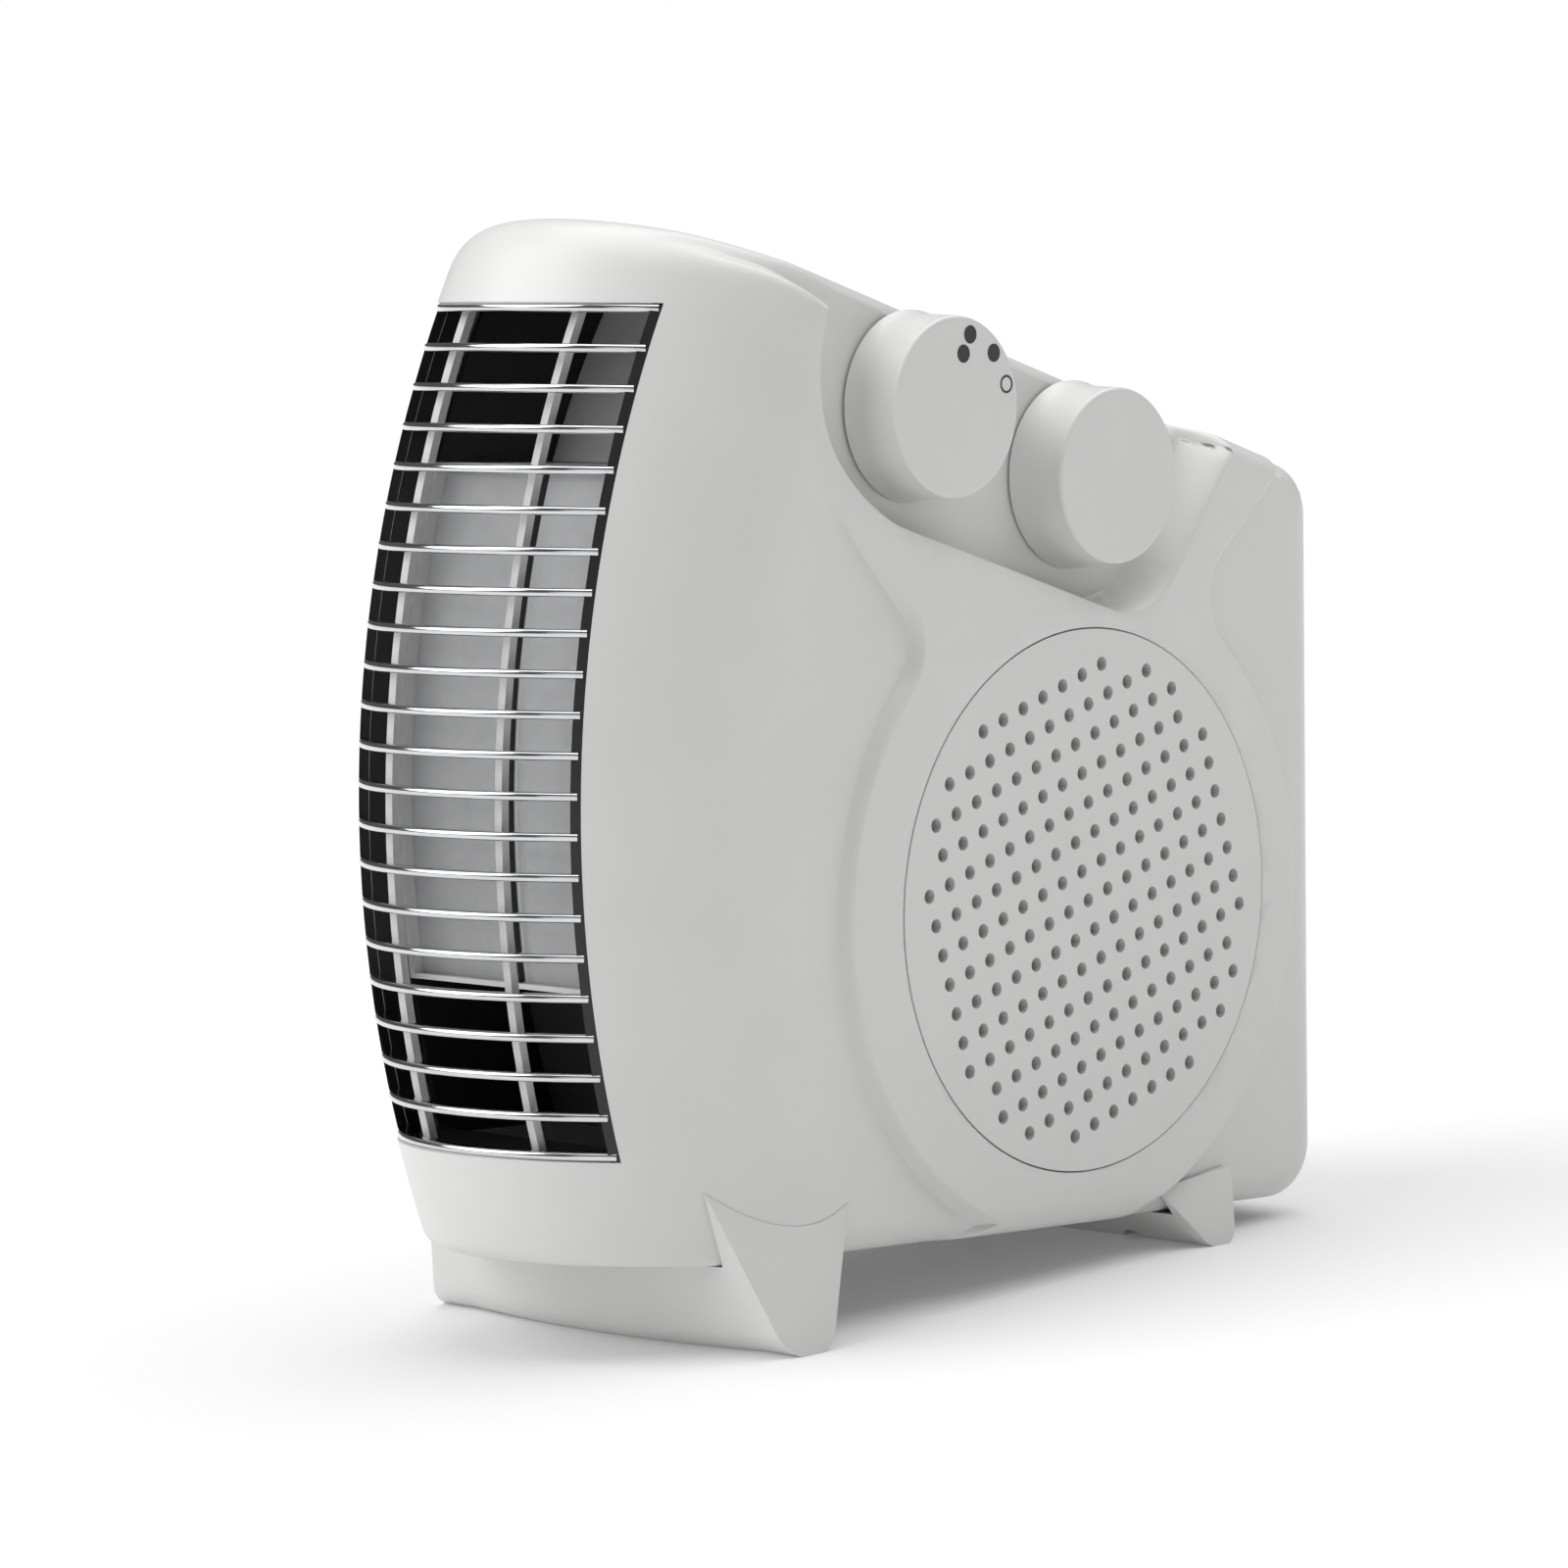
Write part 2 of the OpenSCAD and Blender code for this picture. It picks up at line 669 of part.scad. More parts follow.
// Room for the heating tubes, with a clearance g, from their front faces to the rear
module tube_room(half, g) {
    for (i = [0 : tube_n - 1]) translate([-half, tube_y(i) - g, tube_z(i) - tube_h / 2 - g])
        cube([2 * half, far, tube_h + 2 * g]);
}
module heater_end_frames() {
    color(black) seated() difference() {
        union() {
            for (s = [-1, 1])
                heater_block(heater_r - tube_setback, s > 0 ? tube_x : -tube_x - end_w,
                    s > 0 ? tube_x + end_w : -tube_x);
            heater_block(heater_r, -post_half, post_half);
        }
        tube_room(tube_x + 2.4, 0.1);
    }
}
module heating_tubes() {
    color([0.8, 0.81, 0.82]) seated() for (i = [0 : tube_n - 1]) difference() {
        translate([-tube_x - 2, tube_y(i), tube_z(i) - tube_h / 2])
            cube([2 * tube_x + 4, heater_rear_y - tube_y(i), tube_h]);
        translate([-tube_x - 3, tube_y(i) + tube_wall, tube_z(i) - tube_h / 2 + tube_wall])
            cube([2 * tube_x + 6, heater_rear_y - tube_y(i) - 2 * tube_wall, tube_h - 2 * tube_wall]);
    }
}
// Upright fins in front of and between the tubes, on both sides of the middle post
module heater_fins() {
    first = post_half + fin_gap;
    fin_n = floor((tube_x - fin_gap - fin_t - first) / fin_pitch);
    all_n = floor((tube_x + end_w - fin_gap - fin_t - first) / fin_pitch);
    color([0.85, 0.85, 0.85]) seated() for (s = [-1, 1], j = [0 : all_n]) {
        x = first + j * fin_pitch;
        x0 = s > 0 ? x : -x - fin_t;
        difference() {
            heater_block(heater_r, x0, x0 + fin_t);
            if (j <= fin_n) tube_room(tube_x + 1, 0);
            else {
                sweep_disc(heater_r - tube_setback + 0.1, -duct_x, duct_x);
                tube_room(tube_x + end_w + 1, fin_gap);
            }
        }
    }
}
module in_tubes(depth, height, length, z_off) {
    for (i = [0 : tube_n - 1]) {
        room = heater_rear_y - tube_y(i) - 2 * tube_wall - 1;
        for (k = [-1 : 1]) translate([k * (length + 1) - length / 2, tube_y(i) + tube_wall + 0.5,
            tube_z(i) + z_off - height / 2]) cube([length, min(depth, room), height]);
    }
}
module ceramic_stones() {
    color([0.55, 0.5, 0.47]) seated() in_tubes(stone_d, stone_t, stone_l, 0);
}
module electrode_strips() {
    strip_t = (tube_h - 2 * tube_wall - stone_t) / 2 - 0.4;
    color([0.8, 0.6, 0.35]) seated() for (s = [-1, 1])
        for (i = [0 : tube_n - 1]) translate([-tube_x, tube_y(i) + tube_wall + 0.5,
            tube_z(i) + s * (stone_t / 2 + strip_t / 2) - strip_t / 2])
            cube([2 * tube_x + 1.5, min(stone_d, heater_rear_y - tube_y(i) - 2 * tube_wall - 1), strip_t]);
}
module thermal_cutout() {
    r = back_r - sheet;
    color([0.75, 0.7, 0.62]) seated() translate([0, sweep_y(r, 120) + 0.3, 112]) rotate([-90, 0, 0]) {
        cylinder(r = 8, h = 7);
        translate([0, 0, 7 - eps]) cylinder(r = 6, h = 3);
        for (s = [-1, 1]) translate([s * 4 - 0.4, -2.4, 9]) cube([0.8, 4.8, 9]);
    }
}
module thermal_fuse() {
    color([0.8, 0.72, 0.5]) seated() translate([-14, heater_rear_y + 4, duct_top - 12]) rotate([0, 90, 0]) {
        cylinder(r = 2, h = 12);
        translate([0, 0, -8]) cylinder(r = 0.6, h = 28, $fn = 24);
    }
}

// Scroll that leads the air from the drum to the heater
module scroll_outline(r, t) {
    lip = [scroll_y - 0.1, duct_top];
    jaw = [scroll_y - 0.1, duct_low];
    polygon([[0, r], lip + [0, t], jaw - [0, t], [0, -r], [r / 2, 0]]);
    circle(r);
}
module scroll_wall() {
    color([0.85, 0.85, 0.84]) seated() along_x(-cheek_x, cheek_x) difference() {
        scroll_outline(scroll_r, sheet);
        scroll_outline(scroll_r - sheet, 0);
        translate([scroll_y - far, -far]) square([far, 2 * far]);
    }
}
module cheek(open_r) {
    along_x(0, sheet) difference() {
        intersection() {
            scroll_outline(scroll_r, sheet);
            translate([scroll_y, -far]) square([far, 2 * far]);
        }
        circle(open_r);
    }
}
module scroll_cheek_right() {
    color([0.85, 0.85, 0.84]) seated() translate([cheek_x + 0.1, 0, 0]) {
        cheek(inlet_r);
        rotate([0, 90, 0]) difference() {
            cylinder(r = inlet_r, h = sheet);
            translate([0, 0, -1]) cylinder(r = inlet_r - 1.2, h = sheet + 2);
        }
        rotate([0, 90, 0]) difference() {
            cylinder(r = inlet_r, h = 5);
            translate([0, 0, -1]) cylinder(r = inlet_r - 1.2, h = 7);
        }
    }
}
module scroll_cheek_left() {
    color([0.85, 0.85, 0.84]) seated() translate([-cheek_x - 0.1 - sheet, 0, 0]) cheek(inlet_r);
}

module fan_drum() {
    blade_l = drum_half - 1;
    color([0.2, 0.2, 0.21]) seated() rotate([0, 90, 0]) {
        difference() {
            union() {
                translate([0, 0, drum_plate_x]) cylinder(r = drum_r, h = drum_plate_t);
                translate([0, 0, drum_plate_x - 2]) cylinder(r = 7, h = 12);
            }
            translate([0, 0, -20]) cylinder(r = shaft_r, h = 60);
        }
        for (x = [-drum_half, drum_half - 2]) translate([0, 0, x]) difference() {
            cylinder(r = drum_r, h = 2);
            translate([0, 0, -1]) cylinder(r = drum_r - 7, h = 4);
        }
        for (i = [0 : blade_n - 1]) rotate([0, 0, i * 360 / blade_n]) translate([drum_r - 4, 0, 0])
            rotate([0, 0, 35]) for (x = [[-drum_half + 2 - eps, drum_plate_x + eps],
                    [drum_plate_x + drum_plate_t - eps, drum_half - 2 + eps]])
                translate([-3, -0.5, x[0]]) cube([6, 1, x[1] - x[0]]);
    }
}
module motor_shaft() {
    color(steel) seated() translate([cap_left_x - 3, 0, 0]) rotate([0, 90, 0])
        cylinder(r = shaft_r, h = 10 - cap_left_x + 3);
}
module rotor_core() {
    color([0.5, 0.5, 0.52]) seated() translate([stack_x0, 0, 0]) rotate([0, 90, 0]) difference() {
        cylinder(r = rotor_r, h = stack_x1 - stack_x0);
        translate([0, 0, -1]) cylinder(r = shaft_r, h = 40);
    }
}
module stator_stack() {
    color([0.45, 0.46, 0.5]) seated() translate([stack_x0, 0, 0]) rotate([0, 90, 0]) difference() {
        cylinder(r = motor_r, h = stack_x1 - stack_x0);
        translate([0, 0, -1]) cylinder(r = rotor_r + air_gap, h = 40);
        for (a = [45 : 90 : 315]) rotate([0, 0, a]) translate([rotor_r + 2.5, -2, -1]) cube([7, 4, 40]);
    }
}
module stator_coils() {
    color([0.72, 0.42, 0.2]) seated() for (x = [stack_x0 - 4.2, stack_x1 + 0.2])
        translate([x, 0, 0]) rotate([0, 90, 0]) difference() {
            cylinder(r = motor_r - cap_rim - 1.5, h = 4);
            translate([0, 0, -1]) cylinder(r = rotor_r + 2, h = 8);
        }
}
module motor_cap(x_disc, x_rim0, x_rim1) {
    difference() {
        union() {
            translate([x_disc, 0, 0]) rotate([0, 90, 0]) cylinder(r = motor_r, h = cap_t);
            translate([x_rim0, 0, 0]) rotate([0, 90, 0]) difference() {
                cylinder(r = motor_r, h = x_rim1 - x_rim0);
                translate([0, 0, -1]) cylinder(r = motor_r - cap_rim, h = 40);
            }
        }
        translate([x_disc - 1, 0, 0]) rotate([0, 90, 0]) {
            cylinder(r = bush_r, h = 20);
            for (a = [0 : 60 : 300]) rotate([0, 0, a]) translate([15, 0, 0]) cylinder(r = 3.5, h = cap_t + 2);
        }
        motor_bolts(0.2);
    }
}
module motor_bolts(gap) {
    for (s = [-1, 1]) rotate([90 + s * 90 + 30, 0, 0]) translate([cap_left_x - 2, 0, motor_r - 5 + 0.6])
        rotate([0, 90, 0]) cylinder(r = 1.2 + gap, h = 45, $fn = 32);
}
module motor_cap_left() {
    color(steel) seated() motor_cap(cap_left_x, cap_left_x + cap_t - eps, stack_x0 - 0.05);
}
module motor_cap_right() {
    color(steel) seated() motor_cap(cap_right_x - cap_t, stack_x1 + 0.05, cap_right_x - cap_t + eps);
}
module shaft_bushes() {
    color([0.72, 0.55, 0.3]) seated() for (x = [cap_left_x, cap_right_x - bush_l])
        translate([x, 0, 0]) rotate([0, 90, 0]) difference() {
            cylinder(r = bush_r, h = bush_l);
            translate([0, 0, -1]) cylinder(r = shaft_r + run_gap, h = bush_l + 2);
        }
}
module motor_mount() {
    color([0.7, 0.71, 0.73]) seated() difference() {
        union() {
            translate([mount_x - 2, 0, 0]) rotate([0, 90, 0]) difference() {
                cylinder(r = inlet_r + 5, h = 2);
                translate([0, 0, -1]) cylinder(r = inlet_r - 1, h = 4);
            }
            for (a = [90, 210, 330]) rotate([a, 0, 0]) translate([cap_left_x - 2, 15, -5])
                cube([2, inlet_r - 13, 10]);
            for (a = [90, 210, 330]) rotate([a, 0, 0]) translate([cap_left_x - 2, inlet_r - 0.5, -5])
                cube([mount_x - cap_left_x + 2, 3, 10]);
            translate([cap_left_x - 2, 0, 0]) rotate([0, 90, 0]) cylinder(r = 18, h = 2);
        }
        translate([cap_left_x - 5, 0, 0]) rotate([0, 90, 0]) cylinder(r = shaft_r + 1.5, h = 10);
        motor_bolts(0.2);
    }
}
module motor_screws() {
    color(steel) seated() {
        for (s = [-1, 1]) rotate([90 + s * 90 + 30, 0, 0]) translate([cap_left_x - 3.6, 0, motor_r - 4.4])
            rotate([0, 90, 0]) {
                cylinder(r = 2.4, h = 1.6, $fn = 32);
                translate([0, 0, 1.6 - eps]) cylinder(r = 1.2, h = 4, $fn = 32);
            }
    }
}

module knob_body(at) {
    foot_x = floor_x + knob_gap;
    tip_x = floor_x + knob_h;
    t = 2;
    translate([foot_x, at[0], at[1]]) rotate([90, 0, 90]) rotate_extrude() difference() {
        union() {
            polygon([[knob_r + knob_flare, 0], [knob_r, tip_x - foot_x - 1], [knob_r - 1, tip_x - foot_x],
                [stem_r, tip_x - foot_x], [stem_r, tip_x - foot_x - t],
                [knob_r - t, tip_x - foot_x - t], [knob_r + knob_flare - t, 0]]);
            translate([stem_r, 1]) square([3, tip_x - foot_x - 2]);
        }
        translate([-eps, -1]) square([stem_r + eps, tip_x]);
    }
    translate([tip_x - t / 2, at[0], at[1]]) rotate([0, 90, 0]) cylinder(r = stem_r + 1, h = t / 2);
}
module control_shaft(at) {
    translate([switch_x - switch_depth + 2, at[0], at[1]]) rotate([0, 90, 0])
        cylinder(r = stem_r, h = floor_x + knob_h - 1 - (switch_x - switch_depth + 2));
}
module stem_bore(at) {
    translate([switch_x - switch_depth + 2 - 0.3, at[0], at[1]]) rotate([0, 90, 0])
        cylinder(r = stem_r + run_gap, h = far / 4);
}
module selector_knob() {
    color(white) seated() knob_body(selector_at);
}
module thermostat_knob() {
    color(white) seated() knob_body(thermostat_at);
}
module selector_shaft() {
    color(white) seated() control_shaft(selector_at);
}
module thermostat_shaft() {
    color(steel) seated() control_shaft(thermostat_at);
}
module selector_switch() {
    color([0.86, 0.86, 0.83]) seated() difference() {
        union() {
            translate([switch_x - switch_depth,
                selector_at[0] - switch_size / 2, selector_at[1] - switch_size / 2])
                cube([switch_depth, switch_size, switch_size]);
            for (i = [-1.5 : 1 : 1.5]) translate([switch_x - switch_depth - 6, selector_at[0] + i * 6 - 0.4,
                selector_at[1] - 8]) cube(terminal);
        }
        stem_bore(selector_at);
        control_screw_places() translate([0, 0, -12]) cylinder(r = 1.5, h = 20, $fn = 32);
    }
}
module thermostat_body() {
    color([0.9, 0.89, 0.85]) seated() difference() {
        union() {
            translate([switch_x - switch_depth, thermostat_at[0], thermostat_at[1]]) rotate([0, 90, 0])
                cylinder(r = thermostat_r, h = switch_depth);
            for (s = [-1, 1]) translate([switch_x - switch_depth - 6, thermostat_at[0] + s * 8 - 0.4,
                thermostat_at[1] - 2.4]) cube(terminal);
        }
        stem_bore(thermostat_at);
        control_screw_places() translate([0, 0, -12]) cylinder(r = 1.5, h = 20, $fn = 32);
    }
}
module control_screw_places() {
    for (p = [selector_at, thermostat_at], s = [-1, 1])
        translate([floor_x, p[0] + s * control_screw_at, p[1]]) rotate([0, 90, 0]) children();
}
module control_screws() {
    color(steel) seated() control_screw_places() {
        translate([0, 0, -9]) cylinder(r = 1.5, h = 10, $fn = 32);
        cylinder(r = 2.6, h = 1.6, $fn = 32);
    }
}
module terminal_block() {
    color([0.88, 0.86, 0.8]) seated() difference() {
        translate([-20, 66, -58]) cube([40, 12, 12]);
        for (i = [-1 : 1]) translate([i * 12, 72, -60]) cylinder(r = 2, h = 16, $fn = 32);
    }
}
module tilt_switch() {
    color(black) seated() translate([18, 20, -base_h + wall]) {
        cube([16, 22, 3]);
        translate([8, 11, 3 - eps]) cylinder(r = 6, h = 9);
    }
}

main_shell();
left_cover();
intake_grille_right();
intake_grille_left();
grille_frame();
grille_bars();
grille_ribs();
front_foot();
rear_foot();
foot_screws();
cover_screws();
cable_inlet();
heater_duct();
upper_baffles();
upper_back_plate();
lower_baffles();
lower_back_plate();
heater_end_frames();
heating_tubes();
heater_fins();
ceramic_stones();
electrode_strips();
thermal_cutout();
thermal_fuse();
scroll_wall();
scroll_cheek_right();
scroll_cheek_left();
fan_drum();
motor_shaft();
rotor_core();
stator_stack();
stator_coils();
motor_cap_right();
motor_cap_left();
shaft_bushes();
motor_mount();
motor_screws();
selector_knob();
selector_shaft();
selector_switch();
thermostat_knob();
thermostat_shaft();
thermostat_body();
control_screws();
terminal_block();
tilt_switch();
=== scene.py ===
import json
import math
import bmesh
import bpy
import numpy as np
from mathutils import Matrix, Quaternion, Vector
from mathutils.bvhtree import BVHTree
from mathutils.geometry import delaunay_2d_cdt


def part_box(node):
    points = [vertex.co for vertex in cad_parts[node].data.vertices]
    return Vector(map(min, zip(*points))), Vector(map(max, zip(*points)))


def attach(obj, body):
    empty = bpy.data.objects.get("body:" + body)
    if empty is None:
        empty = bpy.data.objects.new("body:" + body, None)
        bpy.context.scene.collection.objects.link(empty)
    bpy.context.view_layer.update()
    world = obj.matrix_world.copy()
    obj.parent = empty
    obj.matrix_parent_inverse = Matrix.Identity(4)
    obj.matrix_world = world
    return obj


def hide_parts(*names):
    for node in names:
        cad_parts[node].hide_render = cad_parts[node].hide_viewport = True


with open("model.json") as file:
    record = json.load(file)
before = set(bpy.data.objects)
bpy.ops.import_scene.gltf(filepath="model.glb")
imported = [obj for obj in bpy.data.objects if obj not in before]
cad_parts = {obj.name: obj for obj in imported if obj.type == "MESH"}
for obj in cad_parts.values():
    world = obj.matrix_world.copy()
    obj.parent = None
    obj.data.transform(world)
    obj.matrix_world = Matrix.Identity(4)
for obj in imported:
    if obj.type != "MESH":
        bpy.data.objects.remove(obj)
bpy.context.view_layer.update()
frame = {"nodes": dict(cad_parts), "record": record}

mm = 0.001
nodes = frame["nodes"]
scene = bpy.context.scene

# The casing leans back on its feet. Pieces are worked out upright, in millimetres from the fan axis,
# and stand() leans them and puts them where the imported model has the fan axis.
lean = math.radians(4.88411)
discLow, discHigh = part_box("intake_grille_right")
fanAxis = ((discLow.y + discHigh.y) / 2, (discLow.z + discHigh.z) / 2)
standing = Matrix.Translation((0, *fanAxis)) @ Matrix.Rotation(-lean, 4, "X") @ Matrix.Scale(mm, 4)


def place(mesh):
    mesh.transform(standing)
    mesh.update()


def addPiece(name, mesh, material, body, replaced=()):
    piece = bpy.data.objects.new(name, mesh)
    scene.collection.objects.link(piece)
    if material is not None:
        mesh.materials.clear()
        mesh.materials.append(material)
    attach(piece, body)
    if replaced:
        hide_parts(*replaced)
    return piece


def meshFrom(name, points, faces):
    mesh = bpy.data.meshes.new(name)
    mesh.from_pydata([tuple(p) for p in points], [], [tuple(f) for f in faces])
    mesh.update()
    return mesh


def withModifiers(name, mesh, setUp):
    # the modifiers are applied on a helper object, and only their result is kept
    helper = bpy.data.objects.new(name + "_helper", mesh)
    scene.collection.objects.link(helper)
    setUp(helper)
    bpy.context.view_layer.update()
    graph = bpy.context.evaluated_depsgraph_get()
    result = bpy.data.meshes.new_from_object(helper.evaluated_get(graph), depsgraph=graph)
    result.name = name
    bpy.data.objects.remove(helper)
    return result


def shade(mesh, degrees=32):
    mesh.polygons.foreach_set("use_smooth", [True] * len(mesh.polygons))
    mesh.set_sharp_from_angle(angle=math.radians(degrees))
    mesh.update()


# Camera and light ----------------------------------------------------------------------------
view = {"target": (0.003, -0.0122, 0.1195), "azimuth": 43.86, "elevation": 7.09, "roll": -2.78,
        "distance": 1.54, "lens": 150.75}


def addCamera():
    data = bpy.data.cameras.new("camera")
    camera = bpy.data.objects.new("camera", data)
    scene.collection.objects.link(camera)
    turn, rise = math.radians(view["azimuth"]), math.radians(view["elevation"])
    back = Vector((math.sin(turn) * math.cos(rise), -math.cos(turn) * math.cos(rise), math.sin(rise)))
    camera.location = Vector(view["target"]) + back * view["distance"]
    camera.rotation_mode = "QUATERNION"
    camera.rotation_quaternion = (-back).to_track_quat("-Z", "Y") @ Quaternion((0, 0, 1), math.radians(view["roll"]))
    data.lens = view["lens"]
    data.sensor_width = 36
    data.clip_start, data.clip_end = 0.05, 30
    scene.camera = camera


# suns give every part of the floor the same light, and their wide angle keeps the shadows soft
lights = {"key": {"from": (-0.42, -0.70, 0.62), "angle": 60, "power": 2.3},
          "overhead": {"from": (0.10, 0.30, 0.95), "angle": 80, "power": 2.8},
          "fill": {"from": (0.62, -0.76, 0.20), "angle": 24, "power": 0.1}}
sky = {"strength": 0.1}


def addLights():
    for name, light in lights.items():
        data = bpy.data.lights.new(name, "SUN")
        data.angle = math.radians(light["angle"])
        data.energy = light["power"]
        lamp = bpy.data.objects.new(name, data)
        lamp.rotation_mode = "QUATERNION"
        lamp.rotation_quaternion = (-Vector(light["from"])).to_track_quat("-Z", "Y")
        scene.collection.objects.link(lamp)
    world = bpy.data.worlds.new("studio")
    scene.world = world
    world.use_nodes = True
    tree = world.node_tree
    tree.nodes.clear()
    # a white backdrop is seen, and a softer one lights the room
    seen = tree.nodes.new("ShaderNodeBackground")
    room = tree.nodes.new("ShaderNodeBackground")
    seen.inputs["Color"].default_value = (1, 1, 1, 1)
    room.inputs["Color"].default_value = (1, 1, 1, 1)
    room.inputs["Strength"].default_value = sky["strength"]
    rays = tree.nodes.new("ShaderNodeLightPath")
    mix = tree.nodes.new("ShaderNodeMixShader")
    out = tree.nodes.new("ShaderNodeOutputWorld")
    tree.links.new(rays.outputs["Is Camera Ray"], mix.inputs[0])
    tree.links.new(room.outputs[0], mix.inputs[1])
    tree.links.new(seen.outputs[0], mix.inputs[2])
    tree.links.new(mix.outputs[0], out.inputs["Surface"])
    scene.view_settings.view_transform = "Standard"


addCamera()
addLights()
print("camera and light ready")


# Materials -----------------------------------------------------------------------------------
def rgb(code):
    parts = [int(code[i:i + 2], 16) / 255 for i in (0, 2, 4)]
    return tuple(c / 12.92 if c <= 0.04045 else ((c + 0.055) / 1.055) ** 2.4 for c in parts) + (1,)


def addNode(tree, kind, values=None, links=None, **settings):
    node = tree.nodes.new(kind)
    for key, value in settings.items():
        setattr(node, key, value)
    for key, value in (values or {}).items():
        node.inputs[key].default_value = value
    for key, socket in (links or {}).items():
        tree.links.new(socket, node.inputs[key])
    return node


def newMaterial(name, **values):
    material = bpy.data.materials.new(name)
    material.use_nodes = True
    tree = material.node_tree
    shader = tree.nodes["Principled BSDF"]
    for key, value in values.items():
        shader.inputs[key.replace("_", " ")].default_value = value
    where = addNode(tree, "ShaderNodeTexCoord")
    return material, tree, shader, where.outputs["Object"]


def noiseOf(tree, where, size, detail=3, stretch=(1, 1, 1)):
    # size is the width of one grain in millimetres
    spread = addNode(tree, "ShaderNodeMapping", {"Scale": stretch}, {"Vector": where})
    return addNode(tree, "ShaderNodeTexNoise", {"Scale": 1 / (size * mm), "Detail": detail},
                   {"Vector": spread.outputs["Vector"]}).outputs["Fac"]


def tinted(tree, shader, factor, dark, light):
    mix = addNode(tree, "ShaderNodeMix", {}, {"Factor": factor}, data_type="RGBA")
    mix.inputs["A"].default_value = rgb(dark)
    mix.inputs["B"].default_value = rgb(light)
    tree.links.new(mix.outputs["Result"], shader.inputs["Base Color"])


def varied(tree, shader, socket, factor, low, high):
    spread = addNode(tree, "ShaderNodeMapRange", {"To Min": low, "To Max": high}, {"Value": factor})
    tree.links.new(spread.outputs["Result"], shader.inputs[socket])


def bumped(tree, shader, factor, height):
    # height is the depth of the relief in millimetres
    bump = addNode(tree, "ShaderNodeBump", {"Distance": height * mm, "Strength": 1.0}, {"Height": factor})
    tree.links.new(bump.outputs["Normal"], shader.inputs["Normal"])


def mouldedPlastic(name, dark, light, roughness, grain=0.5, relief=0.008, **values):
    # injection moulded: an even colour with a slight mottle, and a very fine spark-eroded grain
    material, tree, shader, where = newMaterial(name, IOR=1.53, **values)
    tinted(tree, shader, noiseOf(tree, where, 22, 2), dark, light)
    varied(tree, shader, "Roughness", noiseOf(tree, where, 6, 3), roughness - 0.04, roughness + 0.05)
    bumped(tree, shader, noiseOf(tree, where, grain, 2), relief)
    return material


def platedMetal(name, dark, light, roughness, grain=3, relief=0.003):
    # electroplated: a bright mirror with a faint orange peel
    material, tree, shader, where = newMaterial(name, Metallic=1.0)
    tinted(tree, shader, noiseOf(tree, where, 9, 2), dark, light)
    varied(tree, shader, "Roughness", noiseOf(tree, where, 4, 3), roughness, roughness + 0.06)
    bumped(tree, shader, noiseOf(tree, where, grain, 2), relief)
    return material


def rolledMetal(name, dark, light, roughness, stretch=(0.05, 1, 1), relief=0.004):
    # rolled or drawn: fine lines along X
    material, tree, shader, where = newMaterial(name, Metallic=1.0)
    lines = noiseOf(tree, where, 0.7, 4, stretch)
    tinted(tree, shader, lines, dark, light)
    varied(tree, shader, "Roughness", lines, roughness - 0.05, roughness + 0.1)
    bumped(tree, shader, lines, relief)
    return material


def coatedSheet(name, dark, light, roughness):
    # steel sheet under a thin baked coat: soft sheen and a slight orange peel
    material, tree, shader, where = newMaterial(name, IOR=1.5, Coat_Weight=0.2, Coat_Roughness=0.25)
    tinted(tree, shader, noiseOf(tree, where, 14, 3), dark, light)
    varied(tree, shader, "Roughness", noiseOf(tree, where, 5, 3), roughness - 0.05, roughness + 0.08)
    bumped(tree, shader, noiseOf(tree, where, 1.6, 3), 0.006)
    return material


def firedCeramic(name, dark, light, roughness):
    # pressed and fired powder: matt, with specks
    material, tree, shader, where = newMaterial(name, IOR=1.6)
    tinted(tree, shader, noiseOf(tree, where, 0.8, 4), dark, light)
    varied(tree, shader, "Roughness", noiseOf(tree, where, 3, 3), roughness - 0.08, roughness + 0.08)
    bumped(tree, shader, noiseOf(tree, where, 0.4, 3), 0.02)
    return material


finishes = {
    "white_abs": mouldedPlastic("satin_white_moulded_abs", "d2d2d1", "d8d8d7", 0.36),
    "black_pa": mouldedPlastic("black_glass_filled_nylon", "0e0e0f", "19191a", 0.42, 0.35, 0.015),
    "chrome_bar": platedMetal("chrome_plated_wire", "c6c8ca", "dadcde", 0.1),
    "duct_sheet": coatedSheet("light_grey_coated_sheet", "d8d8d8", "e2e2e2", 0.4),
    # the same coated sheet as the light grey one, given a dark grey that is painted shade for the duct wall lying in
    # shadow behind the grille
    "dark_sheet": coatedSheet("coated_sheet_painted_shade", "3a3a3a", "464646", 0.38),
    "aluminium": rolledMetal("mill_finish_aluminium", "d0d2d4", "e4e6e8", 0.46),
    "ptc_stone": firedCeramic("sintered_titanate_ceramic", "4a443f", "6b635c", 0.7),
    "brass": rolledMetal("stamped_brass_strip", "b58f4e", "d2ae6b", 0.3),
    "zinc_steel": platedMetal("zinc_plated_steel", "9fa3a8", "c2c6c9", 0.24, 1.2, 0.006),
    "lamination": rolledMetal("varnished_steel_laminations", "55585e", "7b7f86", 0.4, (3, 0.1, 0.1), 0.02),
    "magnet_wire": rolledMetal("enamelled_copper_winding", "7a3d18", "b9652c", 0.3, (1, 0.2, 0.2), 0.05),
    "fan_plastic": mouldedPlastic("dark_grey_moulded_polypropylene", "26262a", "323236", 0.5),
    "scroll_plastic": mouldedPlastic("light_grey_moulded_polypropylene", "cfcfcd", "dadad8", 0.46),
    "phenolic": mouldedPlastic("cream_thermoset", "d8d4c6", "e4e0d3", 0.4, 0.8, 0.01),
    "cutout_ceramic": firedCeramic("steatite_body", "cfc5b0", "e2d9c6", 0.45),
}
slotOf = {s["node"]: s["material_slot"] for s in frame["record"]["subparts"]}
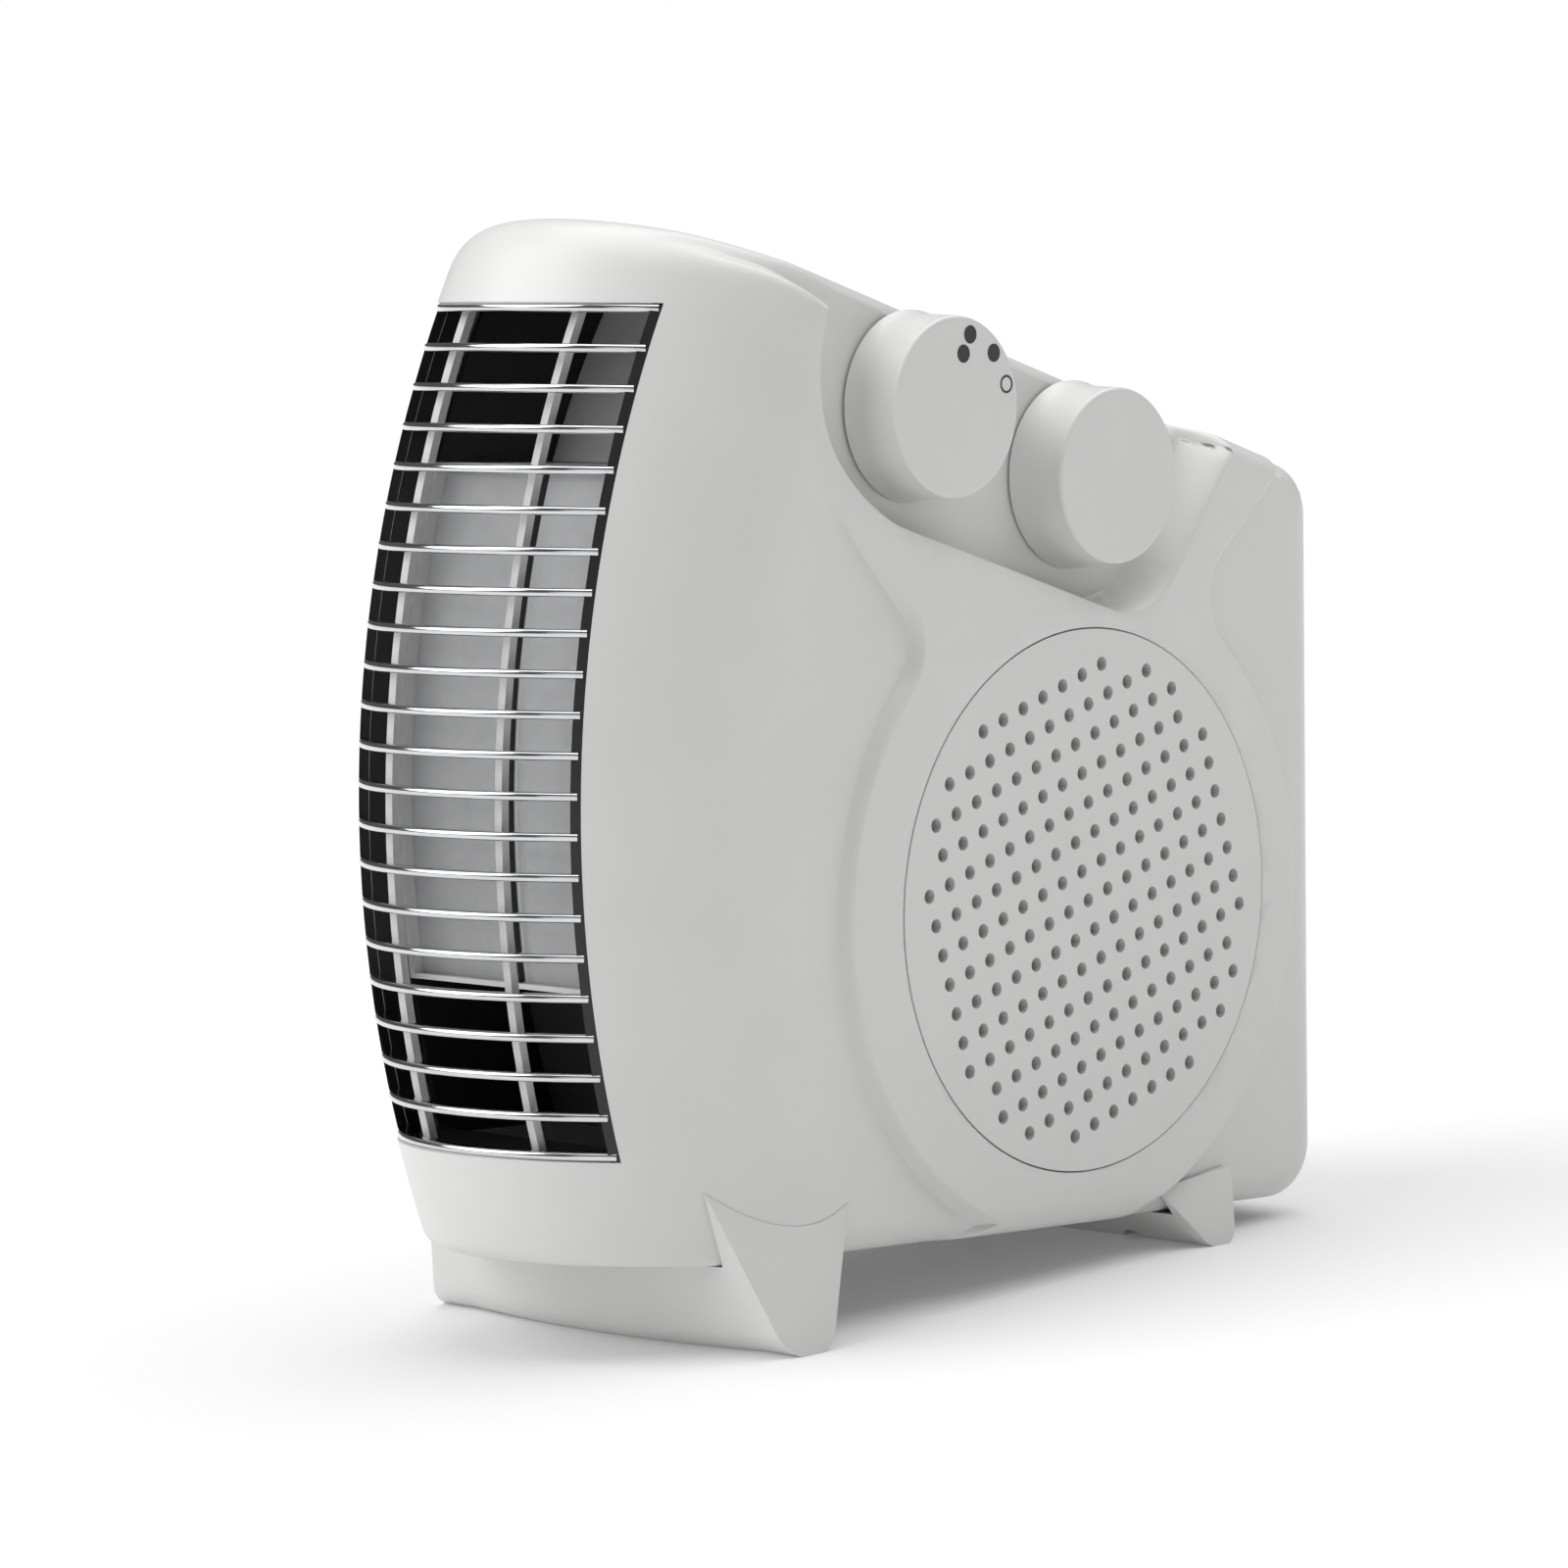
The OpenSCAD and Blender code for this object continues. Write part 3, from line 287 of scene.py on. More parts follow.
for name, node in nodes.items():
    node.data.materials.clear()
    node.data.materials.append(finishes[slotOf[name]])
print("materials ready")

# Casing --------------------------------------------------------------------------------------
casing = {
    "half": 52.0, "plate": 3.0, "wall": 2.4, "axis": (106.0, 29.0), "sweep": 255.0, "bow": 47.0,
    "window": 36.0, "windowLow": -53.0, "windowTop": 138.0, "top": 152.9, "topFrom": -107.8,
    "fall": math.radians(15.4), "base": -77.5, "rear": 89.0, "rearLean": math.radians(2),
    "rearCorner": 13.0, "topCorner": 15.0, "lowCorner": 6.0, "edge": 7.0, "split": 44.0, "seam": 0.15,
    "seat": 64.1, "opening": 59.8, "floor": 43.6, "plateEdge": 1.5,
}
axisY, axisZ = casing["axis"]
bowAngle = math.asin(casing["window"] / casing["bow"])
bowCentre = casing["sweep"] - casing["bow"] * math.cos(bowAngle)
sideRadius = (casing["half"] - casing["window"]) / (1 - math.sin(bowAngle))
sideCentre = (casing["sweep"] - sideRadius * math.cos(bowAngle), casing["half"] - sideRadius)
rimAngle = math.radians(80)


def station(angle):
    # distance from the middle, and radius about the sweep axis, of the plan outline
    if abs(angle) <= bowAngle:
        return casing["bow"] * math.sin(angle), bowCentre + casing["bow"] * math.cos(angle)
    side = math.copysign(1, angle)
    x = sideCentre[1] + sideRadius * math.sin(abs(angle))
    return side * x, sideCentre[0] + sideRadius * math.cos(angle)


def angleAt(x):
    return math.asin((x - sideCentre[1]) / sideRadius)


def topAt(y):
    return casing["top"] - math.tan(casing["fall"]) * (y - casing["topFrom"])


def arc(centre, radius, start, end, count):
    turns = np.linspace(start, end, count)
    return np.stack([centre[0] + radius * np.cos(turns), centre[1] + radius * np.sin(turns)], 1)


def frontCorner(radius, corner, along, outward, onLine):
    # centre of a rounding inside the front sweep and below a straight edge
    axis = np.array(casing["axis"])
    start = np.array(onLine) - corner * np.array(outward) - axis
    dot = start @ along
    slide = dot + math.sqrt(dot * dot - start @ start + (radius - corner) ** 2)
    return axis + start - slide * np.array(along)


def rows(start, end, count):
    return np.linspace(start, end, count, endpoint=False)


def profile(x, radius, topShares):
    # closed side outline of the casing at a distance x from the middle
    fillet = casing["edge"]
    over = max(0.0, abs(x) - (casing["half"] - fillet))
    inset = fillet - math.sqrt(max(0.0, fillet ** 2 - over ** 2))
    fall, back = casing["fall"], casing["rearLean"]
    topNormal = np.array([math.sin(fall), math.cos(fall)])
    topAlong = np.array([math.cos(fall), -math.sin(fall)])
    rearNormal = np.array([math.cos(back), math.sin(back)])
    high = frontCorner(radius, casing["topCorner"], topAlong, topNormal, (0, topAt(0) - inset / math.cos(fall)))
    low = frontCorner(radius, casing["lowCorner"], (1, 0), (0, -1), (0, casing["base"] + inset))
    corner = casing["rearCorner"] - inset * 0.8
    # rear corners: centres where the lines moved in by the corner radius meet
    topLevel = topAt(0) - (inset + corner) / math.cos(fall)
    rearLevel = casing["rear"] - (inset + corner) / math.cos(back)
    rearY = (rearLevel - math.tan(back) * topLevel) / (1 - math.tan(back) * math.tan(fall))
    upper = np.array([rearY, topLevel - math.tan(fall) * rearY])
    lowZ = casing["base"] + inset + corner
    lower = np.array([rearLevel - math.tan(back) * lowZ, lowZ])
    highTurn = math.atan2(high[1] - axisZ, high[0] - axisY)
    lowTurn = math.atan2(low[1] - axisZ, low[0] - axisY) % (2 * math.pi)
    frontHigh = axisZ + radius * math.sin(highTurn)
    frontLow = axisZ + radius * math.sin(lowTurn)
    share = min(1.0, max(0.0, (abs(x) - casing["window"]) / 10)) ** 2
    levelTop = casing["windowTop"] + share * (min(frontHigh - 4, casing["windowTop"]) - casing["windowTop"])
    heights = np.concatenate([rows(frontLow, casing["windowLow"], 8),
                              rows(casing["windowLow"], levelTop, 72), rows(levelTop, frontHigh, 5)])
    front = np.stack([axisY - np.sqrt(radius ** 2 - (heights - axisZ) ** 2), heights], 1)
    topTurn = math.pi / 2 - fall
    topStart, topEnd = high + casing["topCorner"] * topNormal, upper + corner * topNormal
    rearStart, rearEnd = upper + corner * rearNormal, lower + corner * rearNormal
    baseStart, baseEnd = lower + corner * np.array([0, -1]), low + casing["lowCorner"] * np.array([0, -1])
    pieces = [
        arc(low, casing["lowCorner"], math.pi * 1.5, lowTurn, 9)[:-1], front,
        arc(high, casing["topCorner"], highTurn % (2 * math.pi), topTurn, 15)[:-1],
        topStart + np.outer(topShares, topEnd - topStart),
        arc(upper, corner, topTurn, back, 13)[:-1],
        rearStart + np.outer(rows(0, 1, 50), rearEnd - rearStart),
        arc(lower, corner, back, -math.pi / 2, 13)[:-1],
        baseStart + np.outer(rows(0, 1, 70), baseEnd - baseStart),
    ]
    return np.concatenate(pieces)


# Outlines of the raised plate and of the recess: points with outward normals
class Outline:
    def __init__(self, points, normals, widths):
        self.points = np.array(points)
        self.normals = np.array(normals)
        self.widths = np.array(widths)

    def moved(self, distance):
        return self.points + self.normals * np.reshape(distance, (-1, 1))

    def signedDistance(self, where):
        # negative inside; also gives the wall width of the nearest outline point
        a, b = self.points, np.roll(self.points, -1, 0)
        best = np.full(len(where), 1e9)
        width = np.zeros(len(where))
        inside = np.zeros(len(where), bool)
        for p, q, w in zip(a, b, self.widths):
            span = q - p
            t = np.clip(((where - p) @ span) / (span @ span), 0, 1)
            away = np.hypot(*(where - p - np.outer(t, span)).T)
            near = away < best
            best[near], width[near] = away[near], w
            crosses = (p[1] > where[:, 1]) != (q[1] > where[:, 1])
            if crosses.any():
                at = p[0] + (where[crosses, 1] - p[1]) * span[0] / span[1]
                inside[crosses] ^= where[crosses, 0] < at
        return np.where(inside, -best, best), width


def pathOf(parts, step):
    # parts: ("line", start, end, normal, width) or ("arc", centre, radius, from, to, hollow, width0, width1)
    points, normals, widths = [], [], []
    for part in parts:
        if part[0] == "line":
            start, end, normal, width = np.array(part[1]), np.array(part[2]), part[3], part[4]
            count = max(2, int(np.linalg.norm(end - start) / step))
            for t in rows(0, 1, count):
                points.append(start + t * (end - start))
                normals.append(normal)
                widths.append(width)
        else:
            centre, radius, start, end, hollow, width0, width1 = part[1:]
            count = max(3, int(abs(end - start) * radius / step))
            for t in rows(0, 1, count):
                turn = start + t * (end - start)
                out = np.array([math.cos(turn), math.sin(turn)])
                points.append(np.array(centre) + radius * out)
                normals.append(-out if hollow else out)
                widths.append(width0 + t * (width1 - width0))
    return Outline(points, normals, widths)


plate = {"centre": (-2.5, 0.0), "radius": 79.5, "neck": 13.0,
         "left": ((-63.0, 70.0), math.radians(134)), "right": ((46.8, 79.1), math.radians(43.3))}
recess = {"lobe": (-55.0, 121.5), "lobeRadius": 34.5, "nook": (13.0, 88.5), "nookRadius": 20.5,
          "rise": math.radians(54.4), "leave": math.radians(165), "wall": 1.9, "slope": 8.5, "lip": 0.9}


def plateOutline(step):
    centre, radius, neck = np.array(plate["centre"]), plate["radius"], plate["neck"]
    sides = []
    for (point, turn), sign in ((plate["left"], 1), (plate["right"], -1)):
        along = np.array([math.cos(turn), math.sin(turn)])
        outward = sign * np.array([-along[1], along[0]])
        start = np.array(point) + neck * outward - centre
        slide = -start @ along + math.sqrt((start @ along) ** 2 - start @ start + (radius + neck) ** 2)
        middle = centre + start + slide * along
        sides.append((middle, along, outward))
    (m0, along0, out0), (m1, along1, out1) = sides
    toCentre0, toCentre1 = centre - m0, centre - m1
    turnA = math.atan2(-out0[1], -out0[0])
    turnB = math.atan2(toCentre0[1], toCentre0[0])
    turnC = math.atan2(toCentre1[1], toCentre1[0])
    turnD = math.atan2(-out1[1], -out1[0])
    around0 = math.atan2(-toCentre0[1], -toCentre0[0])
    around1 = math.atan2(-toCentre1[1], -toCentre1[0])
    return pathOf([
        ("line", m0 - neck * out0 + 150 * along0, m0 - neck * out0, out0, 1),
        ("arc", m0, neck, turnA, turnB, True, 1, 1),
        ("arc", centre, radius, around0, around1 + 2 * math.pi, False, 1, 1),
        ("arc", m1, neck, turnC % (2 * math.pi), turnD % (2 * math.pi), True, 1, 1),
        ("line", m1 - neck * out1, m1 - neck * out1 + 150 * along1, out1, 1),
    ], step)


def recessOutline(step):
    lobe, nook = np.array(recess["lobe"]), np.array(recess["nook"])
    big, small = recess["lobeRadius"], recess["nookRadius"]
    gap = nook - lobe
    turn = math.atan2(gap[1], gap[0]) + math.asin((big - small) / np.linalg.norm(gap)) + 1.5 * math.pi
    leave, rise = recess["leave"], recess["rise"] + 1.5 * math.pi
    wall, slope = recess["wall"], recess["slope"]
    unit = lambda a: np.array([math.cos(a), math.sin(a)])
    leftTop = lobe + big * unit(leave)
    leftAlong = np.array([math.sin(leave), -math.cos(leave)])
    rightTop = nook + small * unit(rise)
    rightAlong = unit(recess["rise"])
    return pathOf([
        ("line", leftTop + 90 * leftAlong, leftTop, unit(leave), wall),
        ("arc", lobe, big, leave, turn, False, wall, wall),
        ("line", lobe + big * unit(turn), nook + small * unit(turn), unit(turn), wall),
        ("arc", nook, small, turn, rise, False, wall, slope),
        ("line", rightTop, rightTop + 110 * rightAlong, unit(rise), slope),
    ], step)


plateLine, recessLine = plateOutline(1.3), recessOutline(1.2)


def smooth(t):
    t = np.clip(t, 0, 1)
    return t * t * (3 - 2 * t)


def sideHeight(where, base, hasRecess):
    # distance of the side surface from the middle: plate raised, recess sunk
    edge = casing["plateEdge"]
    away, _ = plateLine.signedDistance(where)
    radius = np.hypot(where[:, 0] - axisY, where[:, 1] - axisZ)
    raised = smooth((edge - away) / (2 * edge)) * smooth((214 - radius) / 26)
    height = base + casing["plate"] * raised
    if hasRecess:
        away, width = recessLine.signedDistance(where)
        lip = recess["lip"]
        sunk = smooth((lip - away) / (width + lip))
        height = height + (casing["floor"] - height) * sunk
    return height


def topShareList(spans):
    # shares along the top edge, close together where a step of the side crosses it
    x, radius = station(rimAngle)
    rough = profile(x, radius, rows(0, 1, 2))
    first = 8 + 85 + 14
    start, end = rough[first], rough[first] + 2 * (rough[first + 1] - rough[first])
    length = np.linalg.norm(end - start)
    shares, t = [], 0.0
    while t < 1 - 0.4 / length:
        shares.append(t)
        point = (start + t * (end - start))[None]
        near = min(abs(line.signedDistance(point)[0][0]) - line.signedDistance(point)[1][0] for line in spans)
        t += (0.55 if near < 2.5 else 2.4) / length
    return np.array(shares)


topShares = topShareList([plateLine, recessLine])
cornerAngles = list(np.linspace(bowAngle, rimAngle, 17)[1:])
bowAngles = list(np.linspace(-bowAngle, bowAngle, 31))


def skinRow(angle):
    x, radius = station(angle)
    outline = profile(x, radius, topShares)
    return np.column_stack([np.full(len(outline), x), outline])


def baseSide():
    # the plain right side, before plate and recess, as a surface to measure heights on
    angles = np.radians(np.linspace(76, 90, 24))
    grid = [skinRow(a) for a in angles]
    count = len(grid[0])
    points = np.concatenate(grid)
    faces = []
    for r in range(len(grid) - 1):
        for i in range(count):
            j = (i + 1) % count
            faces.append((r * count + i, r * count + j, (r + 1) * count + j, (r + 1) * count + i))
    faces.append(tuple(range((len(grid) - 1) * count, len(grid) * count)))
    return BVHTree.FromPolygons([tuple(p) for p in points], faces)


sideTree = baseSide()


def baseHeight(where):
    found = [sideTree.ray_cast((90, p[0], p[1]), (-1, 0, 0))[0] for p in where]
    return np.array([casing["half"] if hit is None else hit.x for hit in found])


def insideOf(polygon, where):
    inside = np.zeros(len(where), bool)
    for p, q in zip(polygon, np.roll(polygon, -1, 0)):
        crosses = (p[1] > where[:, 1]) != (q[1] > where[:, 1])
        if crosses.any():
            at = p[0] + (where[crosses, 1] - p[1]) * (q[0] - p[0]) / (q[1] - p[1])
            inside[crosses] ^= where[crosses, 0] < at
    return inside


def sideFace(hasRecess):
    # triangles of one side, with lines of points along every step, inside the rim row
    rim = skinRow(rimAngle)[:, 1:]
    mouth = arc((0, 0), casing["seat"] + 0.35, 0, 2 * math.pi, 161)[:-1]
    points, edges = [], []

    def addLoop(loop, closed=True, keep=None):
        first = sum(len(p) for p in points)
        points.append(loop)
        count = len(loop)
        for i in range(count if closed else count - 1):
            j = (i + 1) % count
            if keep is None or (keep[i] and keep[j]):
                edges.append((first + i, first + j))

    addLoop(rim)
    addLoop(mouth)
    lines = [plateLine.moved(d) for d in np.linspace(-1.8, 1.8, 9)]
    if hasRecess:
        lip = recess["lip"]
        for share in (-0.03, 0.05, 0.13, 0.22, 0.32, 0.42, 0.52, 0.62, 0.72, 0.82, 0.91, 1.02):
            lines.append(recessLine.moved(lip - share * (recessLine.widths + lip)))
    for line in lines:
        inside = insideOf(rim, line)
        gap = np.min(np.hypot(line[:, None, 0] - rim[None, :, 0], line[:, None, 1] - rim[None, :, 1]), 1)
        keep = inside & (gap > 0.5)
        index = np.cumsum(keep) - 1
        first = sum(len(p) for p in points)
        points.append(line[keep])
        for i in range(len(line) - 1):
            if keep[i] and keep[i + 1]:
                edges.append((first + index[i], first + index[i + 1]))
    fixed = np.concatenate(points)
    for degrees in (82, 84, 86, 88, 90):
        row = skinRow(math.radians(degrees))[::2, 1:]
        gap = np.min(np.hypot(row[:, None, 0] - fixed[None, :, 0], row[:, None, 1] - fixed[None, :, 1]), 1)
        points.append(row[gap > 0.7])
    y, z = np.meshgrid(np.arange(-125, 95, 3.2), np.arange(-80, 160, 3.2))
    field = np.column_stack([y.ravel() + 1.6 * (np.round(z.ravel() / 3.2) % 2), z.ravel()])
    field = field[insideOf(rim, field) & (np.hypot(field[:, 0], field[:, 1]) > casing["seat"] + 1.5)]
    fixed = np.concatenate(points)
    gap = np.min(np.hypot(field[:, None, 0] - fixed[None, :, 0], field[:, None, 1] - fixed[None, :, 1]), 1)
    points.append(field[gap > 1.5])
    every = np.concatenate(points)
    flat, _, triangles, *_ = delaunay_2d_cdt([Vector(p) for p in every], edges, [], 0, 1e-5)
    flat = np.array([tuple(p) for p in flat])
    triangles = np.array([tuple(t) for t in triangles])
    middle = flat[triangles].mean(1)
    keep = insideOf(rim, middle) & (np.hypot(middle[:, 0], middle[:, 1]) > casing["seat"] + 0.3)
    heights = sideHeight(flat, baseHeight(flat), hasRecess)
    return np.column_stack([heights, flat]), triangles[keep], rim, mouth


def buildSkin(angles, sides):
    # band of rows across the casing, with a side face at one or both ends
    grid = [skinRow(a) for a in angles]
    count = len(grid[0])
    points, faces = [], []
    ends = {}
    for side, hasRecess in sides.items():
        face, triangles, rim, mouth = sideFace(hasRecess)
        ends[side] = (face, triangles, rim, mouth)
    for a, row in zip(angles, grid):
        x = row[0, 0]
        side = 1 if x > 0 else -1
        if side in ends:
            rimX = station(rimAngle)[0]
            raise_ = sideHeight(ends[side][2], np.full(count, rimX), sides[side]) - rimX
            share = max(0.0, (abs(x) - 30) / (rimX - 30))
            row[:, 0] += side * raise_ * share
        points.extend(row)
    for r in range(len(grid) - 1):
        x0, x1 = grid[r][:, 0].mean(), grid[r + 1][:, 0].mean()
        inWindow = max(abs(station(angles[r])[0]), abs(station(angles[r + 1])[0])) < casing["window"] + 0.01
        for i in range(count):
            j = (i + 1) % count
            z0, z1 = grid[r][i, 2], grid[r][j, 2]
            isFront = 16 <= i < 16 + 72
            if inWindow and isFront:
                continue
            faces.append((r * count + i, (r + 1) * count + i, (r + 1) * count + j, r * count + j))
    for side, (face, triangles, rim, mouth) in ends.items():
        first = len(points)
        face = face * np.array([side, 1, 1])
        points.extend(face)
        order = triangles if side > 0 else triangles[:, ::-1]
        faces.extend(order + first)
        # seat of the intake disc: a small rounding, a step down and a ledge
        last = None
        half = casing["half"]
        steps = [(casing["seat"] + 0.35, half + 3), (casing["seat"] + 0.1, half + 2.88), (casing["seat"], half + 2.6),
                 (casing["seat"], half), (casing["opening"], half)]
        for radius, x in steps:
            loop = arc((0, 0), radius, 0, 2 * math.pi, 161)[:-1]
            start = len(points)
            points.extend(np.column_stack([np.full(160, side * x), loop]))
            if last is not None:
                for i in range(160):
                    j = (i + 1) % 160
                    quad = (last + i, last + j, start + j, start + i)
                    faces.append(quad if side < 0 else quad[::-1])
            last = start
    return np.array(points), faces


def closedShell(name, points, faces):
    mesh = meshFrom(name, points, faces)
    work = bmesh.new()
    work.from_mesh(mesh)
    bmesh.ops.remove_doubles(work, verts=work.verts, dist=0.02)
    # the rows cross the grille window, where they carry no faces
    bmesh.ops.delete(work, geom=[v for v in work.verts if not v.link_faces], context="VERTS")
    bmesh.ops.recalc_face_normals(work, faces=work.faces)
    work.to_mesh(mesh)
    work.free()

    def setUp(helper):
        wall = helper.modifiers.new("wall", "SOLIDIFY")
        wall.thickness = casing["wall"]
        wall.offset = -1
    result = withModifiers(name, mesh, setUp)
    place(result)
    shade(result)
    return result


splitOut, splitIn = angleAt(casing["split"] + casing["seam"]), angleAt(casing["split"] - casing["seam"])
mainAngles = ([-splitIn] + [-a for a in cornerAngles[::-1] if a < splitIn - 0.01] + bowAngles + cornerAngles)
coverAngles = [-a for a in cornerAngles[::-1] if a > splitOut + 0.01] + [-splitOut]
points, faces = buildSkin(mainAngles, {1: True})
addPiece("casing_main", closedShell("casing_main", points, faces), finishes["white_abs"], "housing",
         ["main_shell"])
points, faces = buildSkin(coverAngles, {-1: False})
addPiece("casing_left_cover", closedShell("casing_left_cover", points, faces), finishes["white_abs"], "housing",
         ["left_cover"])
print("casing ready")

# Knobs ---------------------------------------------------------------------------------------
# each is turned about its own shaft: a crowned skirt, a crisp rim and a flat face
knobs = {
    "selector": {"node": "selector_knob", "foot": 22.2, "waist": 21.35, "gap": 0.8, "rim": 0.9, "flare": 3.2},
    "thermostat": {"node": "thermostat_knob", "foot": 22.2, "waist": 21.2, "gap": 0.25, "rim": 0.9, "flare": 5.0},
}


def knobAt(node):
    low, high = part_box(node)
    across = (high - low)
    middle = (low + high) / 2
    return Vector((low.x, middle.y, middle.z)), across.x, max(across.y, across.z) / 2


def lathed(name, rows, steps, origin):
    # rows: (radius, distance along X) from the middle of the face round to the inside
    work = bmesh.new()
    rings = []
    for radius, x in rows:
        if radius < 1e-6:
            rings.append([work.verts.new((x, 0, 0))])
            continue
        rings.append([work.verts.new((x, radius * math.cos(t), radius * math.sin(t)))
                      for t in np.linspace(0, 2 * math.pi, steps, endpoint=False)])
    for a, b in zip(rings, rings[1:]):
        for i in range(steps):
            j = (i + 1) % steps
            corners = [a[i % len(a)], a[j % len(a)], b[j % len(b)], b[i % len(b)]]
            corners = [v for k, v in enumerate(corners) if v not in corners[:k]]
            if len(corners) > 2:
                work.faces.new(corners)
    bmesh.ops.recalc_face_normals(work, faces=work.faces)
    mesh = bpy.data.meshes.new(name)
    work.to_mesh(mesh)
    work.free()
    mesh.transform(Matrix.Translation(origin) @ Matrix.Scale(mm, 4))
    return mesh


def buildKnob(body, knob):
    origin, depth, reach = knobAt(knob["node"])
    depth, reach = depth / mm, reach / mm
    rim, gap, foot, waist = knob["rim"], knob["gap"] - 0.7, knob["foot"], knob["waist"]
    rows = [(0, depth), (reach * 0.5, depth), (waist - 0.55 - rim - 1.2, depth)]
    for t in np.linspace(0, math.pi / 2, 9):
        rows.append((waist - 0.55 - rim + rim * math.sin(t), depth - rim + rim * math.cos(t)))
    for t in np.linspace(0, 1, 9):
        # the skirt widens slowly and flares at its foot
        along = (depth - rim) * (1 - t) + max(gap, 0) * t
        spread = 0.55 * t + (foot - waist) * max(0, 1 - along / knob["flare"]) ** 2
        rows.append((waist - 0.55 + spread, along))
    rows += [(foot - 1.6, max(gap, 0)), (waist - 2.6, 2.0), (waist - 2.8, depth - 2.2), (0, depth - 2.2)]
    mesh = lathed(body + "_knob_cap", rows, 128, origin)
    shade(mesh, 40)
    addPiece(body + "_knob_cap", mesh, finishes["white_abs"], body, [knob["node"]])
    return origin + Vector((depth * mm, 0, 0))


faces = {body: buildKnob(body, knob) for body, knob in knobs.items()}

# printed marks of the selector: dots in a cluster and one ring, turned with the knob
marks = {"dots": [(4.0, 16.5), (1.8, 12.1), (12.1, 12.4)], "dot": 2.1,
         "ring": (16.6, 5.3, 2.1, 0.5), "ink": 0.06}
ink, inkTree, inkShader, inkWhere = newMaterial("matt_grey_pad_print_ink", Roughness=0.6, IOR=1.5)
tinted(inkTree, inkShader, noiseOf(inkTree, inkWhere, 0.8, 3), "2c2c2d", "3a3a3b")
varied(inkTree, inkShader, "Roughness", noiseOf(inkTree, inkWhere, 0.5, 3), 0.5, 0.7)


def buildMarks():
    work = bmesh.new()
    thick = marks["ink"]

    def disc(y, z, outer, inner):
        loops = []
        for x, radius in ((-0.02, outer), (thick, outer), (thick, inner), (-0.02, inner)):
            loops.append([work.verts.new((x, y + radius * math.cos(t), z + radius * math.sin(t)))
                          for t in np.linspace(0, 2 * math.pi, 40, endpoint=False)] if radius else
                         [work.verts.new((x, y, z))])
        if inner:
            loops.append(loops[0])
        for a, b in zip(loops, loops[1:]):
            for i in range(40):
                corners = [a[i % len(a)], a[(i + 1) % 40 % len(a)], b[(i + 1) % 40 % len(b)], b[i % len(b)]]
                corners = [v for k, v in enumerate(corners) if v not in corners[:k]]
                if len(corners) > 2:
                    work.faces.new(corners)
        if not inner:
            bmesh.ops.remove_doubles(work, verts=loops[2] + loops[3], dist=0)

    for y, z in marks["dots"]:
        disc(y, z, marks["dot"], 0)
    y, z, outer, line = marks["ring"]
    disc(y, z, outer, outer - line)
    bmesh.ops.recalc_face_normals(work, faces=work.faces)
    mesh = bpy.data.meshes.new("selector_marks")
    work.to_mesh(mesh)
    work.free()
    turn = Matrix.Rotation(-lean, 4, "X")
    mesh.transform(Matrix.Translation(faces["selector"]) @ turn @ Matrix.Scale(mm, 4))
    addPiece("selector_marks", mesh, ink, "selector")


buildMarks()
print("knobs ready")

# Geometry Nodes --------------------------------------------------------------------------------
def newTree(name, sockets):
    tree = bpy.data.node_groups.new(name, "GeometryNodeTree")
    for key, kind in sockets.items():
        tree.interface.new_socket(name=key, in_out="INPUT", socket_type="NodeSocket" + kind)
    tree.interface.new_socket(name="Geometry", in_out="OUTPUT", socket_type="NodeSocketGeometry")
    given = tree.nodes.new("NodeGroupInput").outputs
    return tree, given


def finishTree(tree, shape, material):
    real = addNode(tree, "GeometryNodeRealizeInstances", {}, {"Geometry": shape})
    painted = addNode(tree, "GeometryNodeSetMaterial", {}, {"Geometry": real.outputs[0], "Material": material})
    addNode(tree, "NodeGroupOutput", {}, {"Geometry": painted.outputs[0]})


def grown(name, tree, values):
    # runs the tree on an empty mesh, with its inputs set before the first evaluation
    def setUp(helper):
        modifier = helper.modifiers.new(name, "NODES")
        modifier.node_group = tree
        for item in tree.interface.items_tree:
            if item.in_out == "INPUT" and item.name in values:
                modifier[item.identifier] = values[item.name]
    return withModifiers(name, bpy.data.meshes.new(name), setUp)


def calc(tree, kind, a, b=0.0):
    node = tree.nodes.new("ShaderNodeMath")
    node.operation = kind
    for socket, value in zip(node.inputs, (a, b)):
        if isinstance(value, (int, float)):
            socket.default_value = value
        else:
            tree.links.new(value, socket)
    return node.outputs[0]


# Louvre --------------------------------------------------------------------------------------
# wire bars across the window: each follows the bowed front, one above the other down the sweep
louvre = {"count": 22, "low": -51.75, "top": 136.75, "reach": 34.2, "back": 0.8, "deep": 3.6, "thick": 2.0,
          "steps": 49}


